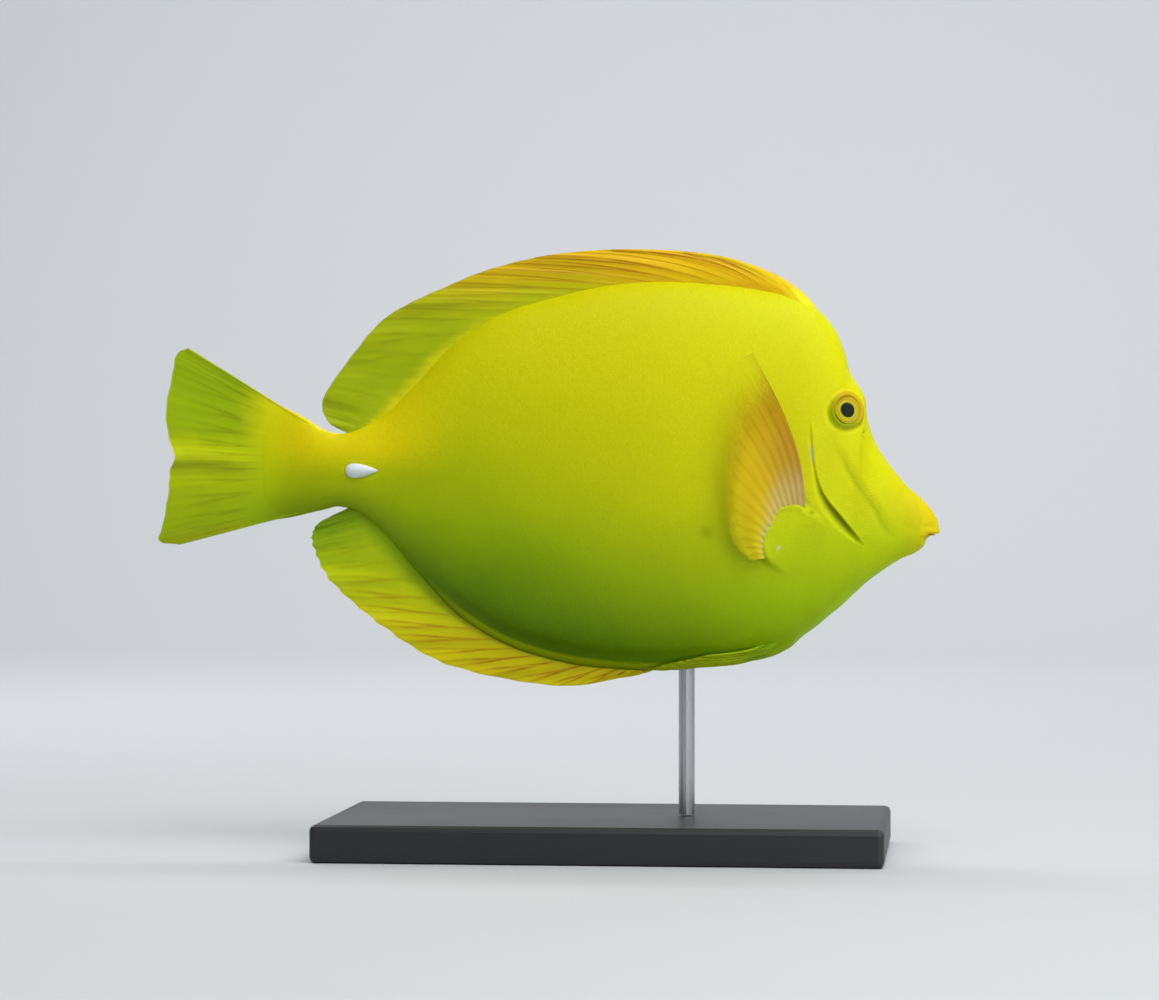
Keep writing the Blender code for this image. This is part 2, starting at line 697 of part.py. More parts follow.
def build_stand(metal, dark):
    length, width, height = BASE_SIZE
    across = ((-1, -1), (1, -1), (1, 1), (-1, 1))
    corners = [(BASE_MIDDLE + x * length / 2, y * width / 2, z * height) for z in (0, 1) for x, y in across]
    block = [(3, 2, 1, 0), (4, 5, 6, 7), (0, 1, 5, 4), (1, 2, 6, 5), (2, 3, 7, 6), (3, 0, 4, 7)]
    base = solid("stand_base", np.array(corners) * METRES, block)
    edge = base.modifiers.new("edge", "BEVEL")
    edge.width = BASE_EDGE * METRES
    edge.segments = 2
    apply_changes(base)
    mm_x, mm_z = in_millimetres(ROD_PLACE, belly_at(ROD_PLACE) + 2.5)
    sides = 16
    points = []
    for level in (height + SEAM, mm_z):
        for k in range(sides):
            turn = 2 * math.pi * k / sides
            points.append((mm_x + ROD_RADIUS * math.cos(turn), ROD_RADIUS * math.sin(turn), level))
    faces = [tuple(range(sides - 1, -1, -1)), tuple(range(sides, 2 * sides))]
    faces += [(k, (k + 1) % sides, sides + (k + 1) % sides, sides + k) for k in range(sides)]
    rod = cut_clear(solid("stand_rod", np.array(points) * METRES, faces))
    finish(base, dark)
    finish(rod, metal)


def build():
    clear_scene()
    skin = paint("skin_yellow", YELLOW, 0.42)
    fins = paint("fin_amber", AMBER, 0.4)
    tail = paint("fin_tail", (0.66, 0.68, 0.03), 0.4)
    eyes = paint("eye", (0.35, 0.3, 0.05), 0.08)
    bone = paint("spine_white", (0.85, 0.9, 0.95), 0.3)
    finish(build_head(), skin)
    finish(build_trunk(), skin)
    finish(build_tail_base(), skin)
    finish(cut_clear(median_fin("dorsal_fin", DORSAL, back_at, -0.9, DORSAL_RAYS, 7, 0.3)), fins)
    finish(cut_clear(median_fin("anal_fin", ANAL, belly_at, 0.9, ANAL_RAYS, 7, 0.3)), fins)
    finish(cut_clear(tail_fin()), tail)
    for side, word in ((-1, "right"), (1, "left")):
        finish(cut_clear(pectoral_fin("pectoral_fin_" + word, side), bases=True), fins)
        finish(cut_clear(pelvic_fin("pelvic_fin_" + word, side)), skin)
        finish(cover_blank("gill_cover_" + word, cover_outline(), side, 0.25, -COVER_THICKNESS), skin)
        finish(eye_ball("eye_" + word, side, 0, 11, 18), eyes)
        finish(spine_shape("caudal_spine_" + word, side, 0), bone)
    steel = paint("stand_metal", (0.55, 0.55, 0.56), 0.3, 1.0)
    build_stand(steel, paint("stand_dark", (0.02, 0.02, 0.022), 0.35))


build()
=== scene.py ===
"""A yellow tang, life size, swimming level on a small display stand.

+X points to the snout, +Z up, and the fish's right side is -Y. Sizes are in millimetres. Places on the fish's
side are in hundredths of its length, along and up from a point on the axis in the middle of its flank.
"""

import math

import bpy
import numpy as np
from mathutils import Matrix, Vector


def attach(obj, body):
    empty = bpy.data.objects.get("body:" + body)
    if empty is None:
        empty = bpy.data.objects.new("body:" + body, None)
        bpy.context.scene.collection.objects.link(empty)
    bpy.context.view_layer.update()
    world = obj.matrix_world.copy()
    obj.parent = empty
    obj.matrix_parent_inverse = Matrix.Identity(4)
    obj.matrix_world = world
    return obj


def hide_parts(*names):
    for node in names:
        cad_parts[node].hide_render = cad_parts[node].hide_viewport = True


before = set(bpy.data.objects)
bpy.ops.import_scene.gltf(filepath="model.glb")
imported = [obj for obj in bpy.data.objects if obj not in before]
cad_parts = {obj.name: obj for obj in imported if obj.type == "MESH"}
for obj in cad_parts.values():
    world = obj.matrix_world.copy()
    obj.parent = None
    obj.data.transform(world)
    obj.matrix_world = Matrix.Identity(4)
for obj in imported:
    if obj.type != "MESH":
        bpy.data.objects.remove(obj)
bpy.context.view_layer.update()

# The body. On the real fish one skin of fine, rough scales covers the flesh from the lips to the root of the
# tail. Here it is one closed mesh, lofted over slanted sections from back to belly.
# Each station: how far along and up the section's upper and lower ends are, its share of BODY_WIDTH, and
# how full its upper half is.
FISH_LENGTH = 170
HUNDREDTH = FISH_LENGTH / 100.5
MIDDLE = -14.05
AXIS_HEIGHT = 82.5
BODY_WIDTH = 22.5
WIDEST_LEVEL = -0.12
BELLY_FULLNESS = 2.6
SNOUT_TIP = (36.1, -7.5)
TAIL_BASE_END = (-52.3, 1.5)
STATIONS = (
    (36.0, -6.4, 35.15, -8.7, 0.15, 2.4),
    (35.3, -5.2, 34.3, -9.7, 0.25, 2.4),
    (33.8, -3.5, 33.0, -10.6, 0.33, 2.5),
    (31.8, -1.7, 31.0, -11.5, 0.39, 2.7),
    (28.6, 2.6, 27.5, -13.9, 0.54, 3.2),
    (27.2, 6.2, 25.5, -15.7, 0.64, 3.9),
    (26.75, 9.3, 23.8, -17.3, 0.73, 4.4),
    (25.0, 12.2, 22.3, -18.5, 0.8, 4.4),
    (24.35, 14.6, 20.8, -19.8, 0.85, 4.0),
    (23.05, 17.7, 19.0, -21.1, 0.89, 3.6),
    (20.8, 20.3, 17.3, -22.6, 0.93, 3.2),
    (17.6, 21.8, 14.7, -23.8, 0.965, 2.9),
    (12.5, 22.9, 10.9, -24.5, 0.99, 2.7),
    (7.4, 23.5, 6.8, -24.9, 1.0, 2.6),
    (1.0, 23.8, 0.9, -25.4, 0.98, 2.6),
    (-6.0, 23.3, -5.8, -25.1, 0.92, 2.6),
    (-13.0, 21.7, -12.7, -24.0, 0.83, 2.6),
    (-19.4, 19.7, -19.2, -21.8, 0.72, 2.6),
    (-25.4, 16.0, -25.2, -18.0, 0.6, 2.6),
    (-30.6, 10.7, -30.1, -13.0, 0.48, 2.5),
    (-34.5, 7.0, -34.1, -8.5, 0.38, 2.4),
    (-38.0, 5.2, -37.7, -5.6, 0.31, 2.3),
    (-40.5, 4.7, -40.5, -4.7, 0.26, 2.2),
    (-42.6, 5.2, -42.6, -5.1, 0.21, 2.2),
    (-44.4, 6.3, -44.4, -5.5, 0.155, 2.1),
    (-46.0, 7.2, -46.0, -5.9, 0.1, 2.0),
    (-47.6, 8.0, -47.6, -6.2, 0.062, 2.0),
    (-49.2, 8.7, -49.2, -6.4, 0.037, 2.0),
    (-50.8, 9.3, -50.8, -6.6, 0.02, 2.0),
    (-52.2, 9.8, -52.2, -6.7, 0.007, 2.0),
)


def smooth_path(table, steps):
    """The rows of a table joined by one smooth curve, with so many steps from row to row."""
    rows = np.array(table, float)
    ends = np.vstack([2 * rows[0] - rows[1], rows, 2 * rows[-1] - rows[-2]])
    found = []
    for i in range(1, len(rows)):
        a, b, c, d = ends[i - 1 : i + 3]
        for t in np.linspace(0, 1, steps, endpoint=False):
            bend = (2 * a - 5 * b + 4 * c - d) * t**2 + (3 * b - a - 3 * c + d) * t**3
            found.append(b + ((c - a) * t + bend) / 2)
    return np.array(found + [rows[-1]])


def half_width(share, level, fullness):
    """Half the body's width at a level of a section, from 1 at the back to -1 at the belly."""
    level = np.clip(level, -1, 1)
    above = np.maximum(0, (level - WIDEST_LEVEL) / (1 - WIDEST_LEVEL)) ** fullness
    below = np.maximum(0, (WIDEST_LEVEL - level) / (1 + WIDEST_LEVEL)) ** BELLY_FULLNESS
    return share * BODY_WIDTH / 2 * np.sqrt(np.maximum(0, 1 - above - below))


fine_stations = smooth_path(STATIONS, 60)
# The number in a station at which its upper end starts, and its lower end.
BACK, BELLY = 0, 2
MAP_STEP = 0.1
MAP_X = np.arange(-56, 37, MAP_STEP)
MAP_Z = np.arange(-27, 26, MAP_STEP)


def width_map():
    """Half the body's width over a fine net of places on the side."""
    rows = fine_stations[::4]
    widths = []
    for z in MAP_Z:
        up = (z - rows[:, 3]) / (rows[:, 1] - rows[:, 3])
        at = rows[:, 2] + (rows[:, 0] - rows[:, 2]) * up
        order = np.argsort(at)
        read = [np.interp(MAP_X, at[order], row[order]) for row in (rows[:, 4], 2 * up - 1, rows[:, 5])]
        widths.append(half_width(*read))
    return np.array(widths)


body_widths = width_map()


def flank(x, z):
    """Half the body's width at places on the side, 0 outside the outline."""
    across = np.clip((np.asarray(x, float) - MAP_X[0]) / MAP_STEP, 0, len(MAP_X) - 1.001)
    up = np.clip((np.asarray(z, float) - MAP_Z[0]) / MAP_STEP, 0, len(MAP_Z) - 1.001)
    i, j = across.astype(int), up.astype(int)
    across, up = across - i, up - j
    lower = body_widths[j, i] * (1 - across) + body_widths[j, i + 1] * across
    upper = body_widths[j + 1, i] * (1 - across) + body_widths[j + 1, i + 1] * across
    return lower * (1 - up) + upper * up


def flank_normal(x, z, side):
    """Which way the body's surface faces at a place on one side."""
    step = 0.5
    along = (flank(x + step, z) - flank(x - step, z)) / (2 * step * HUNDREDTH)
    up = (flank(x, z + step) - flank(x, z - step)) / (2 * step * HUNDREDTH)
    faces = np.stack([-along, np.full_like(along, side), -up], axis=-1)
    return faces / np.linalg.norm(faces, axis=-1, keepdims=True)


def in_mm(x, y, z):
    """Points in millimetres from places on the side and from how far across they are."""
    return np.stack([(x - MIDDLE) * HUNDREDTH, y, z * HUNDREDTH + AXIS_HEIGHT], axis=-1)


def on_flank(x, z, side, out=0.0):
    """Points in millimetres on the body's surface, or so far out from it."""
    x, z = np.asarray(x, float), np.asarray(z, float)
    return in_mm(x, side * flank(x, z), z) + flank_normal(x, z, side) * np.asarray(out, float)[..., None]


def hump(value, width):
    """1 at nought, falling smoothly to nothing on both sides."""
    return np.exp(-((value / width) ** 2))


def rise(value, start, end):
    """From 0 at start to 1 at end, smoothly."""
    t = np.clip((value - start) / (end - start), 0, 1)
    return t * t * (3 - 2 * t)


def make_piece(name, points, faces, marks=None):
    """A smooth mesh object from points in millimetres, faced outwards, with named values at its points."""
    mesh = bpy.data.meshes.new(name)
    mesh.from_pydata((np.asarray(points, float) * 0.001).tolist(), [], faces)
    mesh.update()
    mesh.calc_loop_triangles()
    corners = np.empty(len(mesh.loop_triangles) * 3, np.int32)
    mesh.loop_triangles.foreach_get("vertices", corners)
    a, b, c = np.asarray(points, float)[corners.reshape(-1, 3)].transpose(1, 0, 2)
    if np.einsum("ij,ij->", a, np.cross(b, c)) < 0:
        mesh.flip_normals()
    mesh.shade_smooth()
    for mark, values in (marks or {}).items():
        values = np.ravel(values).astype(np.float32)
        mesh.attributes.new(mark, "FLOAT", "POINT").data.foreach_set("value", values)
    piece = bpy.data.objects.new(name, mesh)
    bpy.context.scene.collection.objects.link(piece)
    return piece


def ring_faces(rings, sides):
    """Faces over a run of rings of points, closed by a pole at each end, the last two points."""
    i, k = np.meshgrid(np.arange(rings - 1), np.arange(sides), indexing="ij")
    a, b = (i * sides + k).ravel(), (i * sides + (k + 1) % sides).ravel()
    wall = np.column_stack([a, b, b + sides, a + sides])
    k = np.arange(sides)
    after = (k + 1) % sides
    first = np.column_stack([np.full(sides, rings * sides), after, k])
    end = (rings - 1) * sides
    last = np.column_stack([np.full(sides, end + sides + 1), end + k, end + after])
    return wall.tolist() + first.tolist() + last.tolist()


EYE_PLACE = (24.8, 7.45)
SKIN_SIDES = 560
# Along the fish: how high and how wide in millimetres the skin stands along the root of the dorsal fin, and
# of the anal fin.
DORSAL_SHEATH = (
    (-39.0, 0.0, 1.0),
    (-36.0, 0.3, 1.0),
    (-28.0, 0.5, 1.2),
    (-16.0, 0.5, 1.3),
    (-2.0, 0.3, 1.4),
    (10.0, 0.3, 1.8),
    (14.0, 0.5, 2.6),
    (16.5, 0.6, 3.2),
    (18.2, 0.4, 3.5),
    (19.8, 0.1, 3.6),
    (21.0, 0.0, 3.0),
)
ANAL_SHEATH = ((-38.8, 0.0, 1.0), (-34.0, 0.6, 1.0), (-25.0, 0.9, 1.2), (-8.0, 0.7, 1.2), (2.0, 0.0, 1.2))


def body_rows():
    """Sections of the body, closer together on the head, and closest at the lips."""
    middle = (fine_stations[:, 0:2] + fine_stations[:, 2:4]) / 2 * HUNDREDTH
    step = np.linalg.norm(np.diff(middle, axis=0), axis=1)
    places = [-47, -42, -33, -10, 12, 17, 32, 34, 36]
    spacing = np.interp(middle[:-1, 0] / HUNDREDTH, places, [0.3, 0.35, 0.5, 0.6, 0.4, 0.2, 0.16, 0.11, 0.09])
    count = np.concatenate([[0], np.cumsum(step / spacing)])
    at = np.interp(np.arange(int(count[-1]) + 1), count, np.arange(len(count)))
    return np.column_stack([np.interp(at, np.arange(len(count)), fine_stations[:, k]) for k in range(6)])


def section_places(rows, turn):
    """Places round each section, from back to belly, with half the width and the level there."""
    level = np.cos(turn)
    top, low = rows[:, None, 0:2], rows[:, None, 2:4]
    place = (top + low) / 2 + (top - low) / 2 * level[..., None]
    return place, half_width(rows[:, 4:5], level, rows[:, 5:6]), level


def sheath_lift(rows, edge, table, wide, level):
    """How far the skin is drawn out along the root of a fin, as steps along and up in hundredths."""
    path = rows[:, edge : edge + 2]
    facing = np.gradient(path, axis=0)[:, ::-1] * ([1, -1] if edge == BACK else [-1, 1])
    facing /= np.linalg.norm(facing, axis=1, keepdims=True)
    along, high, broad = np.array(table).T
    high, broad = np.interp(path[:, 0], along, high)[:, None], np.interp(path[:, 0], along, broad)[:, None]
    lift = high * np.exp(-((wide / broad) ** 1.6)) * rise(level if edge == BACK else -level, 0.7, 0.9)
    return facing[:, None, :] * lift[..., None] / HUNDREDTH


def body_rings():
    """Rings of points round the body, even along the skin but closer at the eye and at the edges."""
    rows = body_rows()
    turn = np.broadcast_to(np.linspace(0, np.pi, 500), (len(rows), 500))
    place, wide, level = section_places(rows, turn)
    run = np.hypot(np.linalg.norm(np.diff(place, axis=1), axis=2) * HUNDREDTH, np.diff(wide, axis=1))
    away = (place[:, 1:] - np.array(EYE_PLACE)) * HUNDREDTH
    near = hump(away[..., 1], 5) * hump(away[..., 0], 8)
    edges = 1.2 * rise(np.abs(level[:, 1:]), 0.9, 0.98)
    closeness = np.cumsum(run * (1 + 1.2 * near + edges), axis=1)
    closeness = np.column_stack([np.zeros(len(rows)), closeness])
    even = np.linspace(0, 1, SKIN_SIDES // 2 + 1)
    turn = np.array([np.interp(even * reached[-1], reached, turn[0]) for reached in closeness])
    place, wide, level = section_places(rows, turn)
    place = place + sheath_lift(rows, BACK, DORSAL_SHEATH, wide, level)
    place = place + sheath_lift(rows, BELLY, ANAL_SHEATH, wide, level)
    wide[:, [0, -1]] = 0
    height = np.linalg.norm(rows[:, 0:2] - rows[:, 2:4], axis=1)[:, None] * HUNDREDTH
    half = np.stack([place[..., 0], wide, place[..., 1], (level + 1) / 2 * height], axis=-1)
    rings = np.concatenate([half, half[:, -2:0:-1] * [1, -1, 1, 1]], axis=1)
    tip = np.array([SNOUT_TIP[0], 0, SNOUT_TIP[1], 9])
    cap = [
        tip + (rings[0] - tip) * [1 - math.cos(angle), math.sin(angle), math.sin(angle), 0]
        for angle in np.radians(np.linspace(6, 84, 12))
    ]
    return np.vstack([np.array(cap), rings])


rings = body_rings()
ring_count = len(rings)
poles = np.array([[SNOUT_TIP[0], 0, SNOUT_TIP[1], 9], [TAIL_BASE_END[0], 0, TAIL_BASE_END[1], 9]])
skin_places = np.vstack([rings.reshape(-1, 4), poles])
SIDES = ((-1, "right"), (1, "left"))
skin_points = in_mm(*skin_places[:, :3].T)

# Lines on the side, from top to bottom: the edge of the gill cover, the groove in front of it, and the edge
# of the fleshy base of the pectoral fin, where its rays leave it.
GILL_EDGE = (
    (20.2, 6.3),
    (20.4, 3.8),
    (20.7, 0.6),
    (21.4, -2.2),
    (22.4, -4.0),
    (24.1, -6.1),
    (25.8, -8.2),
    (26.9, -9.7),
)
CHEEK_GROOVE = ((22.9, 4.3), (24.7, 0.3), (26.5, -2.7), (28.2, -5.0), (29.6, -7.6), (31.6, -8.9))
PECTORAL_EDGE = (
    (23.5, -8.4),
    (21.6, -6.2),
    (19.8, -4.9),
    (18.9, -4.2),
    (17.4, -4.1),
    (16.0, -4.5),
    (15.0, -5.4),
    (14.3, -6.8),
    (13.9, -8.2),
    (13.8, -9.6),
    (14.2, -11.0),
    (15.6, -12.4),
    (18.0, -13.8),
    (21.0, -14.3),
)
MOUTH_LEVEL = -8.3
NOSTRILS = ((26.3, 5.6, 0.3), (26.8, 4.7, 0.38))
SPINE_PLACE = (-37.3, -0.1)


def from_line(x, z, line):
    """How far in millimetres places lie from a line on the side, above 0 on its left, and how far along."""
    line = smooth_path(line, 6) * HUNDREDTH
    run = np.diff(line, axis=0)
    reached = np.concatenate([[0], np.cumsum(np.linalg.norm(run, axis=1))])
    px, pz = x * HUNDREDTH, z * HUNDREDTH
    best = np.full(px.shape, 1e9)
    offset, share = np.zeros(px.shape), np.zeros(px.shape)
    for i, (along_x, along_z) in enumerate(run):
        off_x, off_z = px - line[i, 0], pz - line[i, 1]
        t = np.clip((off_x * along_x + off_z * along_z) / (along_x**2 + along_z**2), 0, 1)
        away = np.hypot(off_x - t * along_x, off_z - t * along_z)
        nearer = away < best
        left = np.sign(along_x * off_z - along_z * off_x)
        offset = np.where(nearer, left * away, offset)
        share = np.where(nearer, (reached[i] + t * (reached[i + 1] - reached[i])) / reached[-1], share)
        best = np.where(nearer, away, best)
    return offset, share


def gill_relief(x, z):
    """The opening behind the gill cover: a raised, rounded edge, and a slit that opens downwards."""
    off, share = from_line(x, z, GILL_EDGE)
    ends = rise(share, 0, 0.12) * rise(share, 1, 0.92)
    raised = 0.4 * np.exp(-np.maximum(off, 0) / 1.9) * rise(off, -0.4, 0.3)
    wide = 0.6 + 1.7 * rise(share, 0.3, 0.7) * rise(share, 1.05, 0.75)
    deep = 0.2 + 0.8 * rise(share, 0.3, 0.75)
    back = -off / wide
    slit = -deep * rise(off, 0.12, -0.45) * (1 - np.clip(back, 0, 1)) ** 1.3
    # gill_dark: how strongly the slit is painted dark, as painted shade.
    marks = {"gill": back, "gill_dark": ends * (0.12 + 0.6 * rise(share, 0.3, 0.65) * rise(share, 1.02, 0.8))}
    # A painted highlight: a pale, bluish fleck just behind the gill cover's edge, near its upper end.
    marks["gill_highlight"] = hump(off + 0.3, 0.4) * hump(share - 0.24, 0.06)
    return (raised + slit) * ends, marks


def cheek_relief(x, z):
    """The shallow groove down the cheek, with a low swelling in front of it."""
    off, share = from_line(x, z, CHEEK_GROOVE)
    ends = rise(share, 0, 0.3) * rise(share, 1, 0.75)
    return (-0.17 * hump(off, 0.85) + 0.15 * hump(off - 1.7, 1.2)) * ends, {"cheek": off, "cheek_dark": ends}


def pectoral_relief(x, z):
    """The fleshy base of the pectoral fin: a low cushion with a firm edge where the rays leave it."""
    off, _ = from_line(x, z, PECTORAL_EDGE)
    forward = ((x - 15.5) * 0.8 - (z + 8) * 0.6) * HUNDREDTH
    here = rise(forward, 9.0, 1.0) * rise(np.hypot(x - 17, z + 8.5), 9.5, 6.0)
    inside = rise(off, -0.6, 1.1)
    nick = np.hypot((x - 20.3) * 0.8, z + 5.5) * HUNDREDTH
    edge = rise(forward, 4.5, 0.0)
    roll = 0.3 * hump(off - 1.0, 0.8) - 0.25 * hump(off + 0.7, 0.7)
    relief = 1.2 * inside * here + roll * edge - 0.35 * hump(nick, 0.5)
    # A small pale spot low on the fleshy base.
    pale_spot = np.hypot(x - 16.2, (z + 9.8) * 1.6) * HUNDREDTH
    # axil and nick: where the crease at the edge and the small nick are painted dark, as painted shade.
    marks = {"axil": hump(off + 0.5, 0.6) * edge * here, "nick": hump(nick, 0.45), "pale_spot": hump(pale_spot, 0.45)}
    # cushion: where the base is painted lighter, as painted light.
    return relief, marks | {"cushion": inside * here}


def eye_relief(points, side):
    """The orbit: a ring of skin that rolls in on the eye, a fainter fold outside it, and the socket."""
    centre = on_flank(*EYE_PLACE, side)
    facing = flank_normal(*EYE_PLACE, side)
    to_place = points - centre
    height = to_place @ facing
    flat = to_place - height[:, None] * facing
    away = np.hypot(flat[:, 0] * 1.1, flat[:, 2] * 0.98)
    near = (points[:, 1] * side > 0) & (away < 9)
    fold = 0.4 * hump(away - 3.3, 0.42) + 0.2 * hump(away - 3.95, 0.26) - 0.14 * hump(away - 4.5, 0.4)
    socket = -2.2 * rise(away, 2.98, 2.6)
    return np.where(near, fold + socket, 0), np.where(near, away, 9)


def mouth_relief(x, z):
    """The lips: the upper one stands out over the lower, with the line of the mouth between them."""
    off = (z - MOUTH_LEVEL) * HUNDREDTH
    snout = rise(x, 34.2, 35.3)
    lips = 0.3 * hump(off - 0.85, 0.65) + 0.1 * hump(off + 0.9, 0.5)
    line = hump(off - 0.08, 0.17) * rise(x, 34.8, 35.1)
    crease = 0.12 * hump(off - 1.9, 0.5) * rise(x, 33.6, 34.4) * rise(x, 35.9, 35.2)
    corner = hump(off + 0.3, 1.1) * hump((x - 34.9) * HUNDREDTH, 0.8)
    under = 0.65 * rise(-off, 0.05, 0.5) * rise(-off, 3.2, 1.0) * rise(x, 33.6, 34.9)
    return lips * snout - 0.9 * line - crease - under, {"lip_line": line, "lip_corner": 0.5 * corner}


def nostril_relief(x, z):
    """Two small pits with low rims in front of the eye."""
    relief, nearest = np.zeros(x.shape), np.full(x.shape, 9.0)
    for at_x, at_z, radius in NOSTRILS:
        away = np.hypot((x - at_x) * 1.15, z - at_z) * HUNDREDTH
        relief += 0.1 * hump(away - radius * 1.6, radius * 0.6) - 0.4 * rise(away, radius * 1.2, radius * 0.4)
        nearest = np.minimum(nearest, away / radius)
    return relief, nearest


def spine_relief(x, z):
    """The sheath of the tail spine: the skin is a little sunk under the blade."""
    away = np.hypot((x - SPINE_PLACE[0]) * HUNDREDTH / 3.6, (z - SPINE_PLACE[1]) * HUNDREDTH / 1.75)
    return -0.15 * rise(away, 1.2, 0.9)


def shape_skin():
    """Presses the features into the skin along its normals, and stores how far each place is from them."""
    mesh = body.data
    x, z, above_belly = skin_places[:, 0], skin_places[:, 2], skin_places[:, 3]
    normals = np.empty(len(mesh.vertices) * 3, np.float32)
    mesh.vertex_normals.foreach_get("vector", normals)
    normals = normals.reshape(-1, 3)
    gill, gill_marks = gill_relief(x, z)
    cheek, cheek_marks = cheek_relief(x, z)
    cushion, cushion_marks = pectoral_relief(x, z)
    mouth, mouth_marks = mouth_relief(x, z)
    nostril, nostril_away = nostril_relief(x, z)
    sheath = spine_relief(x, z)
    dimple = np.hypot(x - 7.1, z + 8.0) * HUNDREDTH
    keel = rise(x, -31, -22) * rise(x, 20, 14)
    cord = 0.25 * hump(above_belly - 0.7, 0.6) - 0.35 * hump(above_belly - 2.7, 1.3)
    on_side = rise(np.abs(skin_points[:, 1]), 0.4, 2.0)
    relief = mouth + cord * keel
    relief += (gill + cheek + cushion + nostril + sheath - 0.22 * hump(dimple, 1.3)) * on_side
    orbit = np.full(len(x), 9.0)
    for side, _ in SIDES:
        fold, away = eye_relief(skin_points, side)
        relief += fold
        orbit = np.minimum(orbit, away)
    placed = skin_points + normals * relief[:, None]
    mesh.vertices.foreach_set("co", (placed * 0.001).astype(np.float32).ravel())
    mesh.update()
    mesh.vertex_normals.foreach_get("vector", normals.ravel())
    marks = {"orbit": orbit, "nostril": nostril_away}
    marks |= {"dimple": hump(dimple, 1.2), "keel": keel, "above_belly": above_belly}
    marks |= gill_marks | cheek_marks | cushion_marks | mouth_marks
    for mark, values in marks.items():
        mesh.attributes.new(mark, "FLOAT", "POINT").data.foreach_set("value", values.astype(np.float32))
    return placed, normals, marks


body = make_piece("body_skin", skin_points, ring_faces(ring_count, SKIN_SIDES))
skin_surface, skin_normals, skin_marks = shape_skin()


def colour(red, green, blue):
    """A screen colour from 0 to 255 as the shader's linear one."""
    parts = np.array([red, green, blue]) / 255
    linear = np.where(parts <= 0.04045, parts / 12.92, ((parts + 0.055) / 1.055) ** 2.4)
    return tuple(linear) + (1.0,)


def new_material(name, roughness, **settings):
    """A material with one Principled shader: its tree and the shader."""
    material = bpy.data.materials.new(name)
    material.use_nodes = True
    tree = material.node_tree
    shader = tree.nodes["Principled BSDF"]
    shader.inputs["Roughness"].default_value = roughness
    for socket, value in settings.items():
        shader.inputs[socket.replace("_", " ")].default_value = value
    return material, tree, shader


def put(tree, kind, inputs=None, **settings):
    """A node with its settings, and its inputs by name or number as values or as links from other sockets."""
    node = tree.nodes.new(kind)
    for setting, value in settings.items():
        setattr(node, setting, value)
    for socket, value in (inputs or {}).items():
        if isinstance(value, bpy.types.NodeSocket):
            tree.links.new(value, node.inputs[socket])
        else:
            node.inputs[socket].default_value = value
    return node


def mixed(tree, factor, first, second):
    """The colour between two others."""
    return put(tree, "ShaderNodeMix", {0: factor, 6: first, 7: second}, data_type="RGBA").outputs[2]


def worked(tree, operation, first, second=0.0, third=0.0):
    """A number worked out from others."""
    return put(tree, "ShaderNodeMath", {0: first, 1: second, 2: third}, operation=operation).outputs[0]


def times(tree, *values):
    """The product of numbers."""
    product = values[0]
    for value in values[1:]:
        product = worked(tree, "MULTIPLY", product, value)
    return product


def ranged(tree, value, start, end, low=0.0, high=1.0):
    """A number taken smoothly from one range to another."""
    inputs = {"Value": value, "From Min": start, "From Max": end, "To Min": low, "To Max": high}
    return put(tree, "ShaderNodeMapRange", inputs, interpolation_type="SMOOTHSTEP").outputs[0]


def noisy(tree, place, scale, detail):
    """Soft noise over places, about 0.5."""
    inputs = {"Vector": place, "Scale": scale, "Detail": detail}
    return put(tree, "ShaderNodeTexNoise", inputs).outputs["Fac"]


def model_place(tree):
    """The place on the model in metres, whole and as its parts X, Y and Z."""
    place = put(tree, "ShaderNodeTexCoord").outputs["Object"]
    return place, put(tree, "ShaderNodeSeparateXYZ", {0: place}).outputs


def mark(tree, name):
    """A value stored at the mesh's points."""
    return put(tree, "ShaderNodeAttribute", attribute_name=name).outputs["Fac"]


def skin_grain():
    """The fine, rough grain of the skin and the fins: small scales, and soft blotches of tone."""
    group = bpy.data.node_groups.new("skin_grain", "ShaderNodeTree")
    for name, start in (("Grain", 1600.0), ("Depth", 0.2)):
        socket = group.interface.new_socket(name=name, in_out="INPUT", socket_type="NodeSocketFloat")
        socket.default_value = start
    for name, kind in (("Normal", "Vector"), ("Tone", "Float"), ("Blotch", "Float")):
        group.interface.new_socket(name=name, in_out="OUTPUT", socket_type="NodeSocket" + kind)
    given = group.nodes.new("NodeGroupInput").outputs
    place = put(group, "ShaderNodeTexCoord").outputs["Object"]
    cells = put(group, "ShaderNodeTexVoronoi", {"Vector": place, "Scale": given["Grain"]}).outputs["Distance"]
    height = worked(group, "MULTIPLY_ADD", noisy(group, place, given["Grain"], 3.0), 0.6, cells)
    blotch = noisy(group, place, 70.0, 4.0)
    inputs = {"Strength": given["Depth"], "Distance": 0.0002, "Height": height}
    normal = put(group, "ShaderNodeBump", inputs).outputs["Normal"]
    out = group.nodes.new("NodeGroupOutput")
    group.links.new(normal, out.inputs["Normal"])
    group.links.new(ranged(group, height, 0.2, 1.0), out.inputs["Tone"])
    group.links.new(ranged(group, blotch, 0.3, 0.7), out.inputs["Blotch"])
    return group


GRAIN = skin_grain()


def toned(tree, under, tone, *shares):
    """A colour with a screen colour laid over it, by the product of the shares."""
    return mixed(tree, times(tree, *shares), under, colour(*tone))


def stepped(tree, factor, stops):
    """A colour read from rows of place and screen colour."""
    node = put(tree, "ShaderNodeValToRGB", {0: factor})
    ramp = node.color_ramp
    ramp.elements[0].position, ramp.elements[0].color = stops[0][0], colour(*stops[0][1])
    ramp.elements[1].position, ramp.elements[1].color = stops[-1][0], colour(*stops[-1][1])
    for at, tone in stops[1:-1]:
        ramp.elements.new(at).color = colour(*tone)
    return node.outputs[0]


def between(tree, value, start, full, full_to, end):
    """1 between two values, falling to 0 on both sides."""
    return times(tree, ranged(tree, value, start, full), ranged(tree, value, end, full_to))


